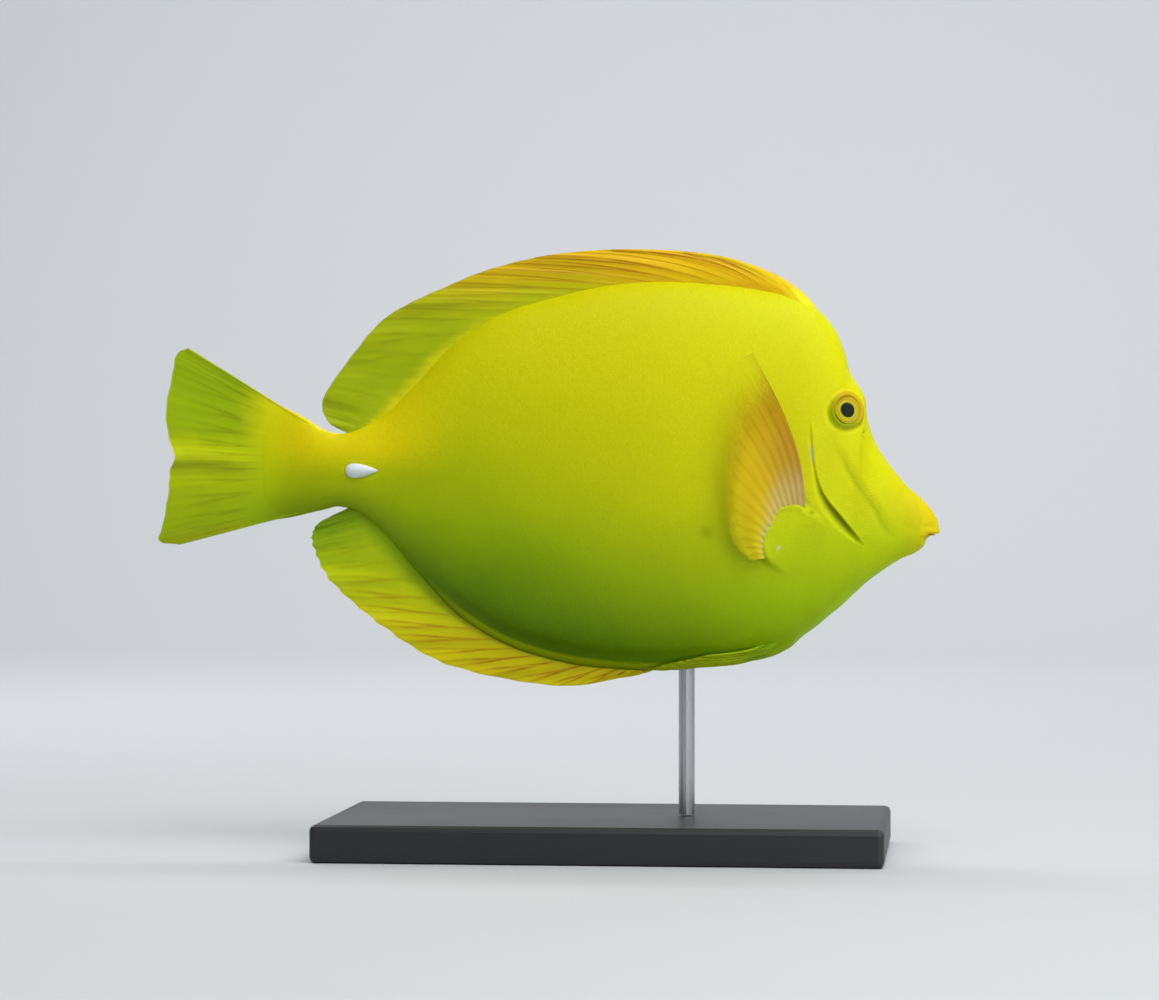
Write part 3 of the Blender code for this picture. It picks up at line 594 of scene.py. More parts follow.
def tang_yellow_with_shade():
    """The fish's yellow: lemon on the back, golden over the tail base, painted shade that darkens and greens
    it downwards and rearwards, and painted light on the head.
    """
    group = bpy.data.node_groups.new("tang_yellow_with_shade", "ShaderNodeTree")
    group.interface.new_socket(name="Colour", in_out="OUTPUT", socket_type="NodeSocketColor")
    place, (x, _, z) = model_place(group)
    level = worked(group, "MULTIPLY_ADD", noisy(group, place, 45.0, 3.0), 0.012, z)
    # Painted light: the level is raised towards the head, so the front is painted lighter than the rear.
    front = ranged(group, x, -0.03, 0.055, 0.0, 0.022)
    level = worked(group, "ADD", worked(group, "ADD", level, 0.004), front)
    # Painted shade: from lemon on the back the yellow grows darker and greener down to the belly.
    shaded_flank_tones = (
        (0.0, (44, 82, 0)),
        (0.18, (104, 146, 0)),
        (0.43, (162, 188, 0)),
        (0.7, (204, 210, 0)),
        (1.0, (228, 222, 2)),
    )
    paint = stepped(group, ranged(group, level, 0.045, 0.135), shaded_flank_tones)
    golden = between(group, x, -0.064, -0.051, -0.038, -0.014)
    paint = toned(group, paint, (255, 232, 2), golden, ranged(group, z, 0.08, 0.089), 0.85)
    # Painted shade: darker olive low on the tail base.
    low = between(group, x, -0.068, -0.056, -0.048, -0.03)
    paint = toned(group, paint, (104, 118, 0), low, ranged(group, z, 0.08, 0.073), 0.5)
    # Painted light: the head, above the throat, is painted lighter.
    head = ranged(group, x, 0.015, 0.05)
    paint = toned(group, paint, (240, 246, 8), head, ranged(group, z, 0.066, 0.08), 0.35)
    # Painted shade: the lower front is painted greener, the green cast of its shade.
    throat_green_shade = ranged(group, x, 0.025, 0.055)
    paint = toned(group, paint, (186, 240, 2), throat_green_shade, ranged(group, z, 0.078, 0.064), 0.28)
    out = group.nodes.new("NodeGroupOutput")
    group.links.new(paint, out.inputs["Colour"])
    return group


SHADED_YELLOW = tang_yellow_with_shade()


def moist_material(name, glow, depth, shine, grain_size, grain_depth):
    """A soft, moist material that light enters a little, and the grain of its surface.

    glow: how much of the light enters; depth: how far in metres; shine: how strong the gloss is.
    """
    settings = {"Subsurface_Weight": glow, "Subsurface_Scale": depth, "Subsurface_Radius": (1.0, 0.8, 0.1)}
    material, tree, shader = new_material(name, 0.5, Specular_IOR_Level=shine, **settings)
    grain = put(tree, "ShaderNodeGroup", node_tree=GRAIN)
    grain.inputs["Grain"].default_value, grain.inputs["Depth"].default_value = grain_size, grain_depth
    tree.links.new(grain.outputs["Normal"], shader.inputs["Normal"])
    return material, tree, shader, grain


# The middle of the eye, along the fish and up in metres, for the tone and painted shade of its orbit.
ORBIT_MIDDLE = (0.0652, 0.0954)


def skin_paint():
    material, tree, shader, grain = moist_material("skin", 0.2, 0.002, 0.12, 2100.0, 0.09)
    _, (x, _, z) = model_place(tree)
    paint = put(tree, "ShaderNodeGroup", node_tree=SHADED_YELLOW).outputs["Colour"]
    snout = ranged(tree, worked(tree, "MULTIPLY_ADD", z, 0.2, x), 0.0875, 0.0995, 0.0, 0.5)
    paint = toned(tree, paint, (240, 186, 10), snout)
    # Painted light: the fleshy base of the pectoral fin is painted lighter.
    paint = toned(tree, paint, (226, 240, 8), mark(tree, "cushion"), 0.4)
    # Painted light: the cord along the root of the anal fin is painted lighter.
    lit_cord = between(tree, mark(tree, "above_belly"), 0.0, 0.4, 0.9, 1.7)
    paint = toned(tree, paint, (196, 214, 4), lit_cord, mark(tree, "keel"), 0.6)
    # The orbit's ring: orange-gold towards the top and front, olive towards the rear and bottom as painted
    # shade.
    forward = worked(tree, "MULTIPLY_ADD", x, 0.6, -0.6 * ORBIT_MIDDLE[0])
    lean = worked(tree, "ADD", worked(tree, "MULTIPLY_ADD", z, 0.8, -0.8 * ORBIT_MIDDLE[1]), forward)
    orbit_tone_and_shade = mixed(tree, ranged(tree, lean, -0.0035, 0.0035), colour(110, 136, 0), colour(206, 160, 8))
    ring = times(tree, ranged(tree, mark(tree, "orbit"), 4.5, 3.75), 0.82)
    paint = mixed(tree, ring, paint, orbit_tone_and_shade)
    # Painted shade: the cheek groove, the crease at the edge of the pectoral fin's base and the dimple are
    # painted darker.
    groove = between(tree, mark(tree, "cheek"), -1.2, 0.0, 0.0, 0.8)
    groove = times(tree, groove, mark(tree, "cheek_dark"), 0.7)
    soft = worked(tree, "MAXIMUM", groove, mark(tree, "axil"))
    soft = worked(tree, "MAXIMUM", soft, mark(tree, "dimple"))
    paint = toned(tree, paint, (118, 136, 0), soft, 0.42)
    paint = toned(tree, paint, (206, 132, 10), mark(tree, "lip_corner"))
    # Painted shade: the gill slit, the nostril pits and the nick at the fin's base are painted dark.
    slit = times(tree, between(tree, mark(tree, "gill"), -0.14, 0.05, 0.1, 1.0), mark(tree, "gill_dark"))
    dark = worked(tree, "MAXIMUM", slit, ranged(tree, mark(tree, "nostril"), 1.2, 0.6, 0.0, 0.45))
    dark = worked(tree, "MAXIMUM", dark, times(tree, mark(tree, "nick"), 0.6))
    paint = toned(tree, paint, (74, 88, 0), dark)
    paint = toned(tree, paint, (96, 58, 8), mark(tree, "lip_line"))
    # Laid over the rest: the painted highlight in the gill opening, a small pale spot, the grain's tone and
    # each scale's tint.
    for tone, where, share in (
        ((178, 198, 150), mark(tree, "gill_highlight"), 0.6),
        ((240, 244, 190), mark(tree, "pale_spot"), 0.8),
        ((150, 160, 0), grain.outputs["Tone"], 0.08),
        ((140, 156, 0), mark(tree, "tint"), 0.07),
    ):
        paint = toned(tree, paint, tone, where, share)
    tree.links.new(paint, shader.inputs["Base Color"])
    return material


body.data.materials.append(skin_paint())
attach(body, "root")
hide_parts("head", "trunk", "tail_base", "gill_cover_left", "gill_cover_right")

# The scales. On the real fish the skin is set with tiny rough scales in slanting rows, their free edges
# towards the tail. Here each is a low closed wedge rooted in the skin, smaller on the head, with none on the
# lips, round the eye, in the gill opening or under the tail spine.
SCALE_PITCH = 0.7
SCALE_HEIGHT = 0.05
# A scale's corners: root, left, right, left and right of the free edge, and its foot: along and across in
# pitches, and how many heights up.
SCALE_SHAPE = np.array(
    [
        (-0.62, 0, -0.9),
        (-0.05, 0.52, -0.2),
        (-0.05, -0.52, -0.2),
        (0.48, 0.28, 1),
        (0.48, -0.28, 1),
        (0.42, 0, -0.9),
    ]
)
SCALE_FACES = ((0, 3, 1), (0, 4, 3), (0, 2, 4), (1, 3, 5), (3, 4, 5), (4, 2, 5), (0, 1, 5), (0, 5, 2))
PATCH_SIZE = 0.0028


def skin_grid(values):
    """Values at the skin's points as a net of rings and sides, without the poles."""
    return values[:-2].reshape((ring_count, SKIN_SIDES) + values.shape[1:])


def read_grid(values, row, column):
    """Values of the net between its points."""
    i, k = row.astype(int), column.astype(int) % SKIN_SIDES
    down, across = row - i, column - np.floor(column)
    if values.ndim == 3:
        down, across = down[:, None], across[:, None]
    after = (k + 1) % SKIN_SIDES
    first = values[i, k] * (1 - across) + values[i, after] * across
    return first * (1 - down) + (values[i + 1, k] * (1 - across) + values[i + 1, after] * across) * down


def scale_rows(side):
    """Where the scales of one side grow, as numbers of ring and side on the skin's net, row after row."""
    surface = skin_grid(skin_surface)
    half_way = SKIN_SIDES // 2
    columns = np.arange(half_way + 1) + (0 if side < 0 else half_way)
    run = np.linalg.norm(np.diff(surface[:, columns % SKIN_SIDES], axis=0), axis=2)
    reached = np.concatenate([[0], np.cumsum(np.median(run, axis=1))])
    found = []
    for number, at in enumerate(np.arange(0.5, reached[-1] - 0.5, 0.8 * SCALE_PITCH)):
        row = np.interp(at, reached, np.arange(ring_count))
        rows = np.full(half_way + 1, min(row, ring_count - 1.001))
        around = np.linalg.norm(np.diff(read_grid(surface, rows, columns), axis=0), axis=1)
        around = np.concatenate([[0], np.cumsum(around)])
        count = int(around[-1] / 2 / SCALE_PITCH)
        places = around[half_way // 2] + (np.arange(-count, count) + 0.5 * (number % 2)) * SCALE_PITCH
        places = places[(places > 0.2) & (places < around[-1] - 0.2)]
        found.append(np.column_stack([np.full(len(places), rows[0]), np.interp(places, around, columns)]))
    return np.vstack(found)


def scales(name, side):
    """All scales of one side as one mesh, each a little apart from its neighbours in size, tilt and tone."""
    draw = np.random.default_rng(5)
    at = scale_rows(side)
    row, column = (at + draw.uniform(-0.12, 0.12, at.shape)).T
    row = np.clip(row, 1, ring_count - 2.001)
    surface = skin_grid(skin_surface)
    place = read_grid(surface, row, column)
    marks = {key: read_grid(skin_grid(values), row, column) for key, values in skin_marks.items()}
    x = place[:, 0] / HUNDREDTH + MIDDLE
    spine_x, spine_z = x - SPINE_PLACE[0], (place[:, 2] - AXIS_HEIGHT) / HUNDREDTH - SPINE_PLACE[1]
    kept = (marks["orbit"] > 4.2) & (x < 34) & (x > -50.2) & (marks["nostril"] > 1.8) & (marks["nick"] < 0.3)
    kept &= (marks["gill_dark"] < 0.05) | (marks["gill"] < -0.3) | (marks["gill"] > 1.1)
    kept &= np.hypot(spine_x / 2.6, spine_z / 1.3) > 1
    row, column, place, x = row[kept], column[kept], place[kept], x[kept]
    normal = read_grid(skin_grid(skin_normals), row, column)
    normal /= np.linalg.norm(normal, axis=1, keepdims=True)
    back = read_grid(surface, row + 1, column) - read_grid(surface, row - 1, column)
    back -= np.einsum("ij,ij->i", back, normal)[:, None] * normal
    back /= np.linalg.norm(back, axis=1, keepdims=True)
    across = np.cross(normal, back)
    size = (1 - 0.3 * rise(x, 20, 28)) * rise(x, -51, -46) * draw.uniform(0.88, 1.1, len(x))
    flat = SCALE_SHAPE[None, :, :2] * (SCALE_PITCH * size)[:, None, None]
    height = SCALE_SHAPE[None, :, 2] * (SCALE_HEIGHT * size * draw.uniform(0.6, 1.4, len(x)))[:, None]
    height = height + SCALE_SHAPE[None, :, 1] * (SCALE_HEIGHT * draw.uniform(-0.5, 0.5, len(x)))[:, None]
    points = place[:, None] + flat[..., :1] * back[:, None] + flat[..., 1:] * across[:, None]
    points = points + height[..., None] * normal[:, None]
    faces = (np.arange(len(x))[:, None, None] * 6 + np.array(SCALE_FACES)).reshape(-1, 3)
    tiled = {key: np.repeat(values[kept], 6) for key, values in marks.items()}
    tiled["tint"] = np.repeat(draw.uniform(0, 1, len(x)), 6)
    piece = make_piece(name, points.reshape(-1, 3), faces.tolist(), tiled)
    piece.data.shade_flat()
    unwrap = np.stack([row / ring_count, (column % SKIN_SIDES) / SKIN_SIDES], axis=-1) * 0.98 + 0.01
    unwrap = (unwrap[:, None] + SCALE_SHAPE[None, :, :2] * PATCH_SIZE).reshape(-1, 2)
    corners = np.empty(len(piece.data.loops), np.int32)
    piece.data.loops.foreach_get("vertex_index", corners)
    layer = piece.data.uv_layers.new(name="OFBake")
    layer.data.foreach_set("uv", unwrap[corners].astype(np.float32).ravel())
    return piece


for side, word in SIDES:
    coat = scales("scales_" + word, side)
    coat.data.materials.append(body.data.materials[0])
    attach(coat, "root")

# The eyes. A real eye is a clear, wet window over a gold-olive iris in fine rings and a black pupil, and it
# turns in its socket. Here the iris and pupil are one turned piece inside a clear ball.
EYE_RADIUS = 3.6
EYE_BULGE = 1.5
PUPIL_RADIUS = 1.62
IRIS = (
    (0.0, 1.78),
    (0.9, 1.79),
    (PUPIL_RADIUS - 0.1, 1.8),
    (PUPIL_RADIUS, 1.93),
    (1.8, 2.02),
    (2.0, 1.97),
    (2.3, 2.05),
    (2.5, 2.0),
    (2.75, 2.02),
    (2.95, 1.92),
    (3.15, 1.5),
    (3.25, 0.7),
    (3.2, -0.6),
    (2.6, -1.9),
    (1.6, -2.7),
)


def turned(name, profile, side, sides=72):
    """A piece turned about the eye's axis from rows of radius and height, with the radius as a mark."""
    facing = flank_normal(*EYE_PLACE, side)
    centre = on_flank(*EYE_PLACE, side, EYE_BULGE - EYE_RADIUS)
    up = np.array([0, 0, 1.0]) - facing[2] * facing
    up /= np.linalg.norm(up)
    ahead = np.cross(up, facing)
    points, radii = [], []
    for radius, height in profile[1:]:
        turn = np.linspace(0, 2 * np.pi, sides, endpoint=False)[:, None]
        points.append(centre + facing * height + radius * (np.cos(turn) * ahead + np.sin(turn) * up))
        radii += [radius] * sides
    last = profile[-1]
    points.append(np.array([centre + facing * profile[0][1], centre + facing * (last[1] - 0.3 * last[0])]))
    radii += [profile[0][0], last[0]]
    return make_piece(name, np.vstack(points), ring_faces(len(profile) - 1, sides), {"radius": radii})


def iris_paint():
    material, tree, shader = new_material("iris", 0.45, Specular_IOR_Level=0.1)
    radius = mark(tree, "radius")
    place, (_, _, z) = model_place(tree)
    noise = noisy(tree, place, 1300.0, 4.0)
    uneven = worked(tree, "MULTIPLY_ADD", noise, 0.14, worked(tree, "SUBTRACT", radius, 0.07))
    gold = stepped(
        tree,
        worked(tree, "DIVIDE", uneven, 3.3),
        (
            (0.495, (200, 198, 62)),
            (0.52, (168, 162, 14)),
            (0.6, (162, 150, 8)),
            (0.66, (182, 146, 8)),
            (0.73, (148, 126, 4)),
            (0.8, (178, 144, 8)),
            (0.88, (150, 140, 4)),
            (1.0, (118, 122, 0)),
        ),
    )
    # Painted shade: the lower part of the iris is painted olive.
    gold = toned(tree, gold, (138, 140, 2), ranged(tree, z, 0.0975, 0.0925, 0.0, 0.5))
    paint = toned(tree, gold, (6, 14, 3), ranged(tree, radius, PUPIL_RADIUS, PUPIL_RADIUS - 0.12))
    tree.links.new(paint, shader.inputs["Base Color"])
    return material


def cornea_paint():
    settings = {"Transmission_Weight": 1.0, "IOR": 1.12, "Base_Color": (0.97, 0.99, 0.9, 1)}
    material, tree, shader = new_material("cornea", 0.04, **settings)
    out = tree.nodes["Material Output"]
    shadow = put(tree, "ShaderNodeLightPath").outputs["Is Shadow Ray"]
    clear = put(tree, "ShaderNodeBsdfTransparent").outputs[0]
    mix = put(tree, "ShaderNodeMixShader", {0: shadow, 1: shader.outputs[0], 2: clear})
    tree.links.new(mix.outputs[0], out.inputs["Surface"])
    return material


ball_turn = np.linspace(0, math.pi * 0.97, 40)
ball_profile = EYE_RADIUS * np.column_stack([np.sin(ball_turn), np.cos(ball_turn)])
iris_material, cornea_material = iris_paint(), cornea_paint()
for side, word in SIDES:
    iris = turned("iris_" + word, smooth_path(IRIS, 4), side)
    cornea = turned("cornea_" + word, ball_profile, side)
    iris.data.materials.append(iris_material)
    cornea.data.materials.append(cornea_material)
    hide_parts("eye_" + word)
    for piece in (iris, cornea):
        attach(piece, "root")

# The dorsal fin. A few short spines under thick skin at the front, then soft rays that lean far back and part
# in two, with a thin membrane pleated between them, on the edge of the back.
DORSAL = (
    (22.6, 22.1, 18.0),
    (22.0, 20.7, 20.5),
    (21.3, 18.4, 22.95),
    (20.4, 14.8, 25.1),
    (19.2, 9.2, 26.6),
    (17.6, 2.6, 27.7),
    (15.4, -4.2, 28.05),
    (12.4, -10.6, 27.8),
    (8.0, -16.4, 26.9),
    (2.2, -21.8, 25.5),
    (-4.2, -26.8, 23.5),
    (-10.9, -31.2, 21.5),
    (-17.5, -35.0, 19.3),
    (-24.5, -38.6, 15.2),
    (-30.3, -41.6, 11.1),
    (-34.4, -42.9, 8.4),
    (-37.0, -42.0, 6.2),
    (-38.4, -40.3, 5.2),
)
DORSAL_RAYS = 32
PER_RAY = 12
# How far out a ray parts in two, and how see-through the thinnest membrane is.
RAY_PARTS = 0.35
CLEARNESS = 0.06


def resampled(table, count):
    """A smooth path through the rows, read at so many even steps of row number."""
    fine = smooth_path(table, 12)
    at = np.linspace(0, len(fine) - 1, count)
    return np.column_stack([np.interp(at, np.arange(len(fine)), fine[:, k]) for k in range(fine.shape[1])])


def body_edge(x, edge):
    """The level of the back or of the belly at a place along the fish."""
    along, level = fine_stations[np.argsort(fine_stations[:, edge]), edge : edge + 2].T
    return np.interp(x, along, level)


def fan(rays, steps, spacing=1.0):
    """Each point's number from ray to ray, its share of the way to the last, and its reach to the rim."""
    number = np.arange((rays - 1) * PER_RAY + 1) / PER_RAY
    number, reach = np.meshgrid(number, np.linspace(0, 1, steps) ** spacing, indexing="ij")
    return number, number / (rays - 1), reach


def ray_ridges(number, reach, split=0.75):
    """From 0 on the membrane to 1 on a ray, for round soft rays that part in two on their way out."""
    single = 0.5 + 0.5 * np.cos(2 * np.pi * number)
    double = 0.5 - 0.5 * np.cos(4 * np.pi * number)
    parted = split * rise(reach, RAY_PARTS, 0.8)
    return single * (1 - parted) + double * parted


def fin_piece(name, sheet, half, number, share, reach):
    """A closed fin about a sheet of points in millimetres, root to rim in each row, so thick on each side."""
    rows, steps = sheet.shape[:2]
    normal = np.cross(np.gradient(sheet, axis=0), np.gradient(sheet, axis=1))
    normal /= np.maximum(np.linalg.norm(normal, axis=2, keepdims=True), 1e-9)
    offset = normal * (half * np.sqrt(np.clip((1.003 - reach) / 0.02, 0.03, 1)))[..., None]
    points = np.vstack([(sheet + offset).reshape(-1, 3), (sheet - offset).reshape(-1, 3)])
    below = rows * steps
    i, j = (grid.ravel() for grid in np.meshgrid(np.arange(rows - 1), np.arange(steps - 1), indexing="ij"))
    a, b, c, d = i * steps + j, (i + 1) * steps + j, (i + 1) * steps + j + 1, i * steps + j + 1
    faces = np.column_stack([a, b, c, d]).tolist() + (np.column_stack([a, d, c, b]) + below).tolist()
    border = list(range(steps)) + [i * steps + steps - 1 for i in range(1, rows)]
    border += [(rows - 1) * steps + j for j in range(steps - 2, -1, -1)]
    border += [i * steps for i in range(rows - 2, 0, -1)]
    faces += [(a, a + below, b + below, b) for a, b in zip(border, border[1:] + border[:1])]
    marks = {"ray": number, "share": share, "reach": reach}
    return make_piece(name, points, faces, {key: np.tile(np.ravel(value), 2) for key, value in marks.items()})


def median_sheet(table, number, reach, edge, sink, pleats, notch, bend=0.0, still=1.0):
    """Points of a fin on the body's edge, its rays a little sunk and bent back, pleated more towards the rim.

    still: 0 where the fin is stiff and has no pleats.
    """
    path = resampled(table, len(number))[:, :, None]
    out = reach * (1 - notch * np.abs(np.sin(np.pi * number)))
    root_z = body_edge(path[:, 0], edge) + sink
    x = path[:, 0] + (path[:, 1] - path[:, 0]) * out ** (1 + 0.5 * bend)
    z = root_z + (path[:, 2] - root_z) * (1 - (1 - out) ** (1 + 0.9 * bend))
    y = sum(size * np.sin(number * pace + start) for size, pace, start in pleats)
    return in_mm(x, y * rise(reach, 0.1, 1.1) * still, z)


def fin_marks(tree):
    """The fin's marks, how far each place is from a ray, and from the two lines that a ray parts into."""
    ray, reach, share = mark(tree, "ray"), mark(tree, "reach"), mark(tree, "share")
    from_ray = worked(tree, "ABSOLUTE", worked(tree, "SUBTRACT", ray, worked(tree, "ROUND", ray)))
    parted = ranged(tree, reach, RAY_PARTS, 0.85, 0.0, 0.2)
    return ray, reach, share, from_ray, worked(tree, "ABSOLUTE", worked(tree, "SUBTRACT", from_ray, parted))


def along_rays(tree, ray, reach, stretch):
    """Places that noise drawn out along the rays is read at."""
    return put(tree, "ShaderNodeCombineXYZ", {0: ray, 1: times(tree, reach, stretch)}).outputs[0]


def fin_paint(name, tones, deep, streaks, line, lines, fade, grown, root_shadow=0.0, bare=0.0, own=0.0):
    """Thin membrane that grows out of the skin's yellow, streaked along its rays, each ray a fine soft line.

    deep, line: the colours of streaks and of lines, each at the front and at the rear; streaks: how strong
    broad and fine ones are; lines: how strong they are on the first ray and on the last; fade: the reach at
    which lines are full, at which they weaken, and how much of them is left at the rim; grown: how far out
    the skin's yellow reaches on the first rays, in the middle and on the last; root_shadow: how dark the
    painted shadow is in the fold along the root; bare: the share of the fin at its front whose rays the skin
    hides; own: how much of the fin's own colour shows at its root.
    """
    material, tree, shader, grain = moist_material(name, 0.25, 0.0012, 0.18, 2300.0, 0.08)
    ray, reach, share, from_ray, off_line = fin_marks(tree)
    run = along_rays(tree, ray, reach, 1.4)
    broad = noisy(tree, run, 0.75, 2.0)
    fine = noisy(tree, run, 3.4, 3.0)
    paint = stepped(tree, worked(tree, "MULTIPLY_ADD", grain.outputs["Blotch"], 0.06, share), tones)
    deep = mixed(tree, ranged(tree, share, 0.42, 0.66), *deep)
    paint = mixed(tree, ranged(tree, broad, 0.4, 0.7, 0.0, streaks[0]), paint, deep)
    paint = mixed(tree, ranged(tree, fine, 0.4, 0.75, 0.0, streaks[1]), paint, deep)
    strength = times(
        tree,
        ranged(tree, share, 0.0, 1.0, lines[0], lines[1]),
        between(tree, share, bare, bare + 0.05, 0.96, 1.0),
        ranged(tree, reach, fade[0] - 0.3, fade[0]),
        ranged(tree, reach, fade[1], 1.0, 1.0, fade[2]),
        ranged(tree, fine, 0.3, 0.6, 0.35, 1.0),
    )
    line = mixed(tree, ranged(tree, share, 0.5, 0.72), *line)
    paint = mixed(tree, times(tree, ranged(tree, off_line, 0.17, 0.0), strength), paint, line)
    skin = mixed(tree, own, put(tree, "ShaderNodeGroup", node_tree=SHADED_YELLOW).outputs["Colour"], paint)
    # Painted shadow: a dark line in the fold where the fin leaves the skin.
    fold = between(tree, reach, 0.04, 0.13, 0.15, 0.24)
    fold = times(tree, fold, between(tree, share, 0.2, 0.32, 0.6, 0.8), root_shadow)
    paint = mixed(tree, fold, paint, line)
    edge = worked(tree, "MULTIPLY_ADD", fine, 0.2, worked(tree, "SUBTRACT", reach, 0.1))
    edge = worked(tree, "SUBTRACT", edge, ranged(tree, share, 0.32, 0.04, grown[1], grown[0]))
    edge = worked(tree, "SUBTRACT", edge, ranged(tree, share, 0.45, 0.75, 0.0, grown[2] - grown[1]))
    paint = mixed(tree, ranged(tree, edge, -0.12, 0.12), skin, paint)
    tree.links.new(paint, shader.inputs["Base Color"])
    thin = times(tree, ranged(tree, reach, 0.4, 1.0), ranged(tree, from_ray, 0.05, 0.3))
    tree.links.new(worked(tree, "MULTIPLY_ADD", thin, -CLEARNESS, 1.0), shader.inputs["Alpha"])
    return material


number, share, reach = fan(DORSAL_RAYS, 56, 0.9)
pleats = ((0.3, 2.1, 0.4), (0.24, 1.1, 2.0), (0.14, 4.9, 0.0))
bend = 0.85 * rise(share, 0.1, 0.33) * rise(share, 0.65, 0.42)
dorsal_sheet = median_sheet(DORSAL, number, reach, BACK, -0.9, pleats, 0.004, bend, rise(share, 0.12, 0.3))
flesh = (2.6 - 2.2 * rise(share, 0.15, 0.6)) * rise(share, -0.01, 0.12) * (1 - reach) ** 1.3
ridge = ray_ridges(number, reach) * rise(reach, 0.15, 0.4) * (1 - 0.5 * reach) * rise(share, 0.08, 0.25)
half = 0.15 + flesh + 0.1 * ridge
dorsal = fin_piece("dorsal_fin_skin", dorsal_sheet, half, number, share, reach)
dorsal_tones = (
    (0.1, (246, 222, 6)),
    (0.22, (250, 218, 8)),
    (0.42, (242, 200, 8)),
    (0.54, (220, 190, 2)),
    (0.64, (190, 190, 0)),
    (0.8, (168, 188, 0)),
    (1.0, (166, 188, 0)),
)
dorsal.data.materials.append(
    fin_paint(
        "dorsal_membrane",
        dorsal_tones,
        (colour(206, 150, 2), colour(138, 158, 0)),
        (0.4, 0.22),
        (colour(174, 106, 2), colour(136, 144, 0)),
        (1.35, 0.2),
        (0.42, 0.7, 0.6),
        (1.0, 0.04, 0.18),
        0.25,
        0.24,
        0.3,
    )
)
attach(dorsal, "root")
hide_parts("dorsal_fin")

# The anal fin. Like the dorsal fin, on the edge of the belly behind the vent: its rays lean far back and its
# membrane is pleated, and the skin rises in a ridge along its root.
ANAL = (
    (0.6, -0.4, -25.7),
    (-0.6, -3.8, -26.5),
    (-3.8, -13.0, -27.6),
    (-11.5, -26.9, -24.9),
    (-20.0, -35.7, -19.6),
    (-28.4, -42.0, -14.1),
    (-34.4, -44.1, -9.7),
    (-36.7, -43.8, -7.3),
    (-38.4, -41.5, -5.9),
)
ANAL_RAYS = 25

number, share, reach = fan(ANAL_RAYS, 56, 0.9)
pleats = ((0.34, 1.9, 1.0), (0.25, 0.9, 0.0), (0.16, 4.4, 1.0))
anal_sheet = median_sheet(ANAL, number, reach, BELLY, 0.9, pleats, 0.022)
flesh = (0.75 - 0.3 * share) * rise(share, -0.02, 0.1) * (1 - reach) ** 1.5
half = 0.15 + flesh + 0.12 * ray_ridges(number, reach) * rise(reach, 0.15, 0.4) * (1 - 0.5 * reach)
anal = fin_piece("anal_fin_skin", anal_sheet, half, number, share, reach)
# Yellow at the front, greener and darker towards the rear, partly the fin's own colour and partly painted
# shade.
anal_tones = (
    (0.0, (224, 216, 4)),
    (0.3, (228, 216, 2)),
    (0.52, (216, 212, 0)),
    (0.7, (186, 208, 0)),
    (0.85, (126, 160, 0)),
    (1.0, (106, 142, 0)),
)
anal.data.materials.append(
    fin_paint(
        "anal_membrane",
        anal_tones,
        (colour(192, 170, 0), colour(136, 166, 0)),
        (0.34, 0.18),
        (colour(176, 104, 2), colour(150, 140, 0)),
        (1.1, 0.12),
        (0.38, 0.6, 0.3),
        (0.18, 0.18, 0.24),
        0.3,
        own=0.3,
    )
)
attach(anal, "root")
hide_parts("anal_fin")

# The tail fin. Sixteen main rays fan from the tail base and part in two on their way out, and the membrane
# lies in broad soft folds that run along them.
CAUDAL_ROOT = -44.4
CAUDAL_ROOT_HEIGHT = 0.86
CAUDAL = (
    (6.9, -60.4, 15.8),
    (6.4, -61.9, 15.0),
    (5.6, -62.5, 12.4),
    (4.2, -63.3, 7.9),
    (2.8, -62.9, 4.0),
    (1.5, -62.1, 1.6),
    (0.3, -62.8, 0.0),
    (-1.5, -63.0, -3.0),
    (-3.8, -63.8, -7.2),
    (-5.4, -64.2, -9.2),
    (-6.1, -61.6, -9.6),
)
CAUDAL_RAYS = 16
# The folds of the tail fin: where each lies from the upper edge to the lower, how far it stands out and how
# broad it is.
TAIL_FOLDS = ((0.13, 0.35, 0.05), (0.33, 0.6, 0.07), (0.51, 1.05, 0.06), (0.68, 0.5, 0.06), (0.85, 0.4, 0.07))


def tail_sheet(number, share, reach):
    """Points of the tail fin, from inside the tail base to the rim."""
    path = resampled(CAUDAL, len(number))[:, :, None]
    out = reach * (1 - 0.005 * np.abs(np.sin(np.pi * number)))
    root_z = path[:, 0] * CAUDAL_ROOT_HEIGHT
    x = CAUDAL_ROOT + (path[:, 1] - CAUDAL_ROOT) * out
    z = root_z + (path[:, 2] - root_z) * out
    folds = sum(size * hump(share - at, broad) for at, size, broad in TAIL_FOLDS)
    y = (0.3 - folds) * np.sin(np.pi * share) ** 0.5 * rise(reach, 0.4, 1.05)
    return in_mm(x, y, z)


number, share, reach = fan(CAUDAL_RAYS, 72)
edges = hump(share, 0.03) + hump(share - 1, 0.03)
ridge = 0.08 * ray_ridges(number, reach) * rise(reach, 0.35, 0.6) * (1 - 0.5 * reach)
half = 0.13 + 0.25 * (1 - reach) ** 2 + ridge + 0.3 * edges * (1 - 0.7 * reach)
caudal = fin_piece("caudal_fin_skin", tail_sheet(number, share, reach), half, number, share, reach)
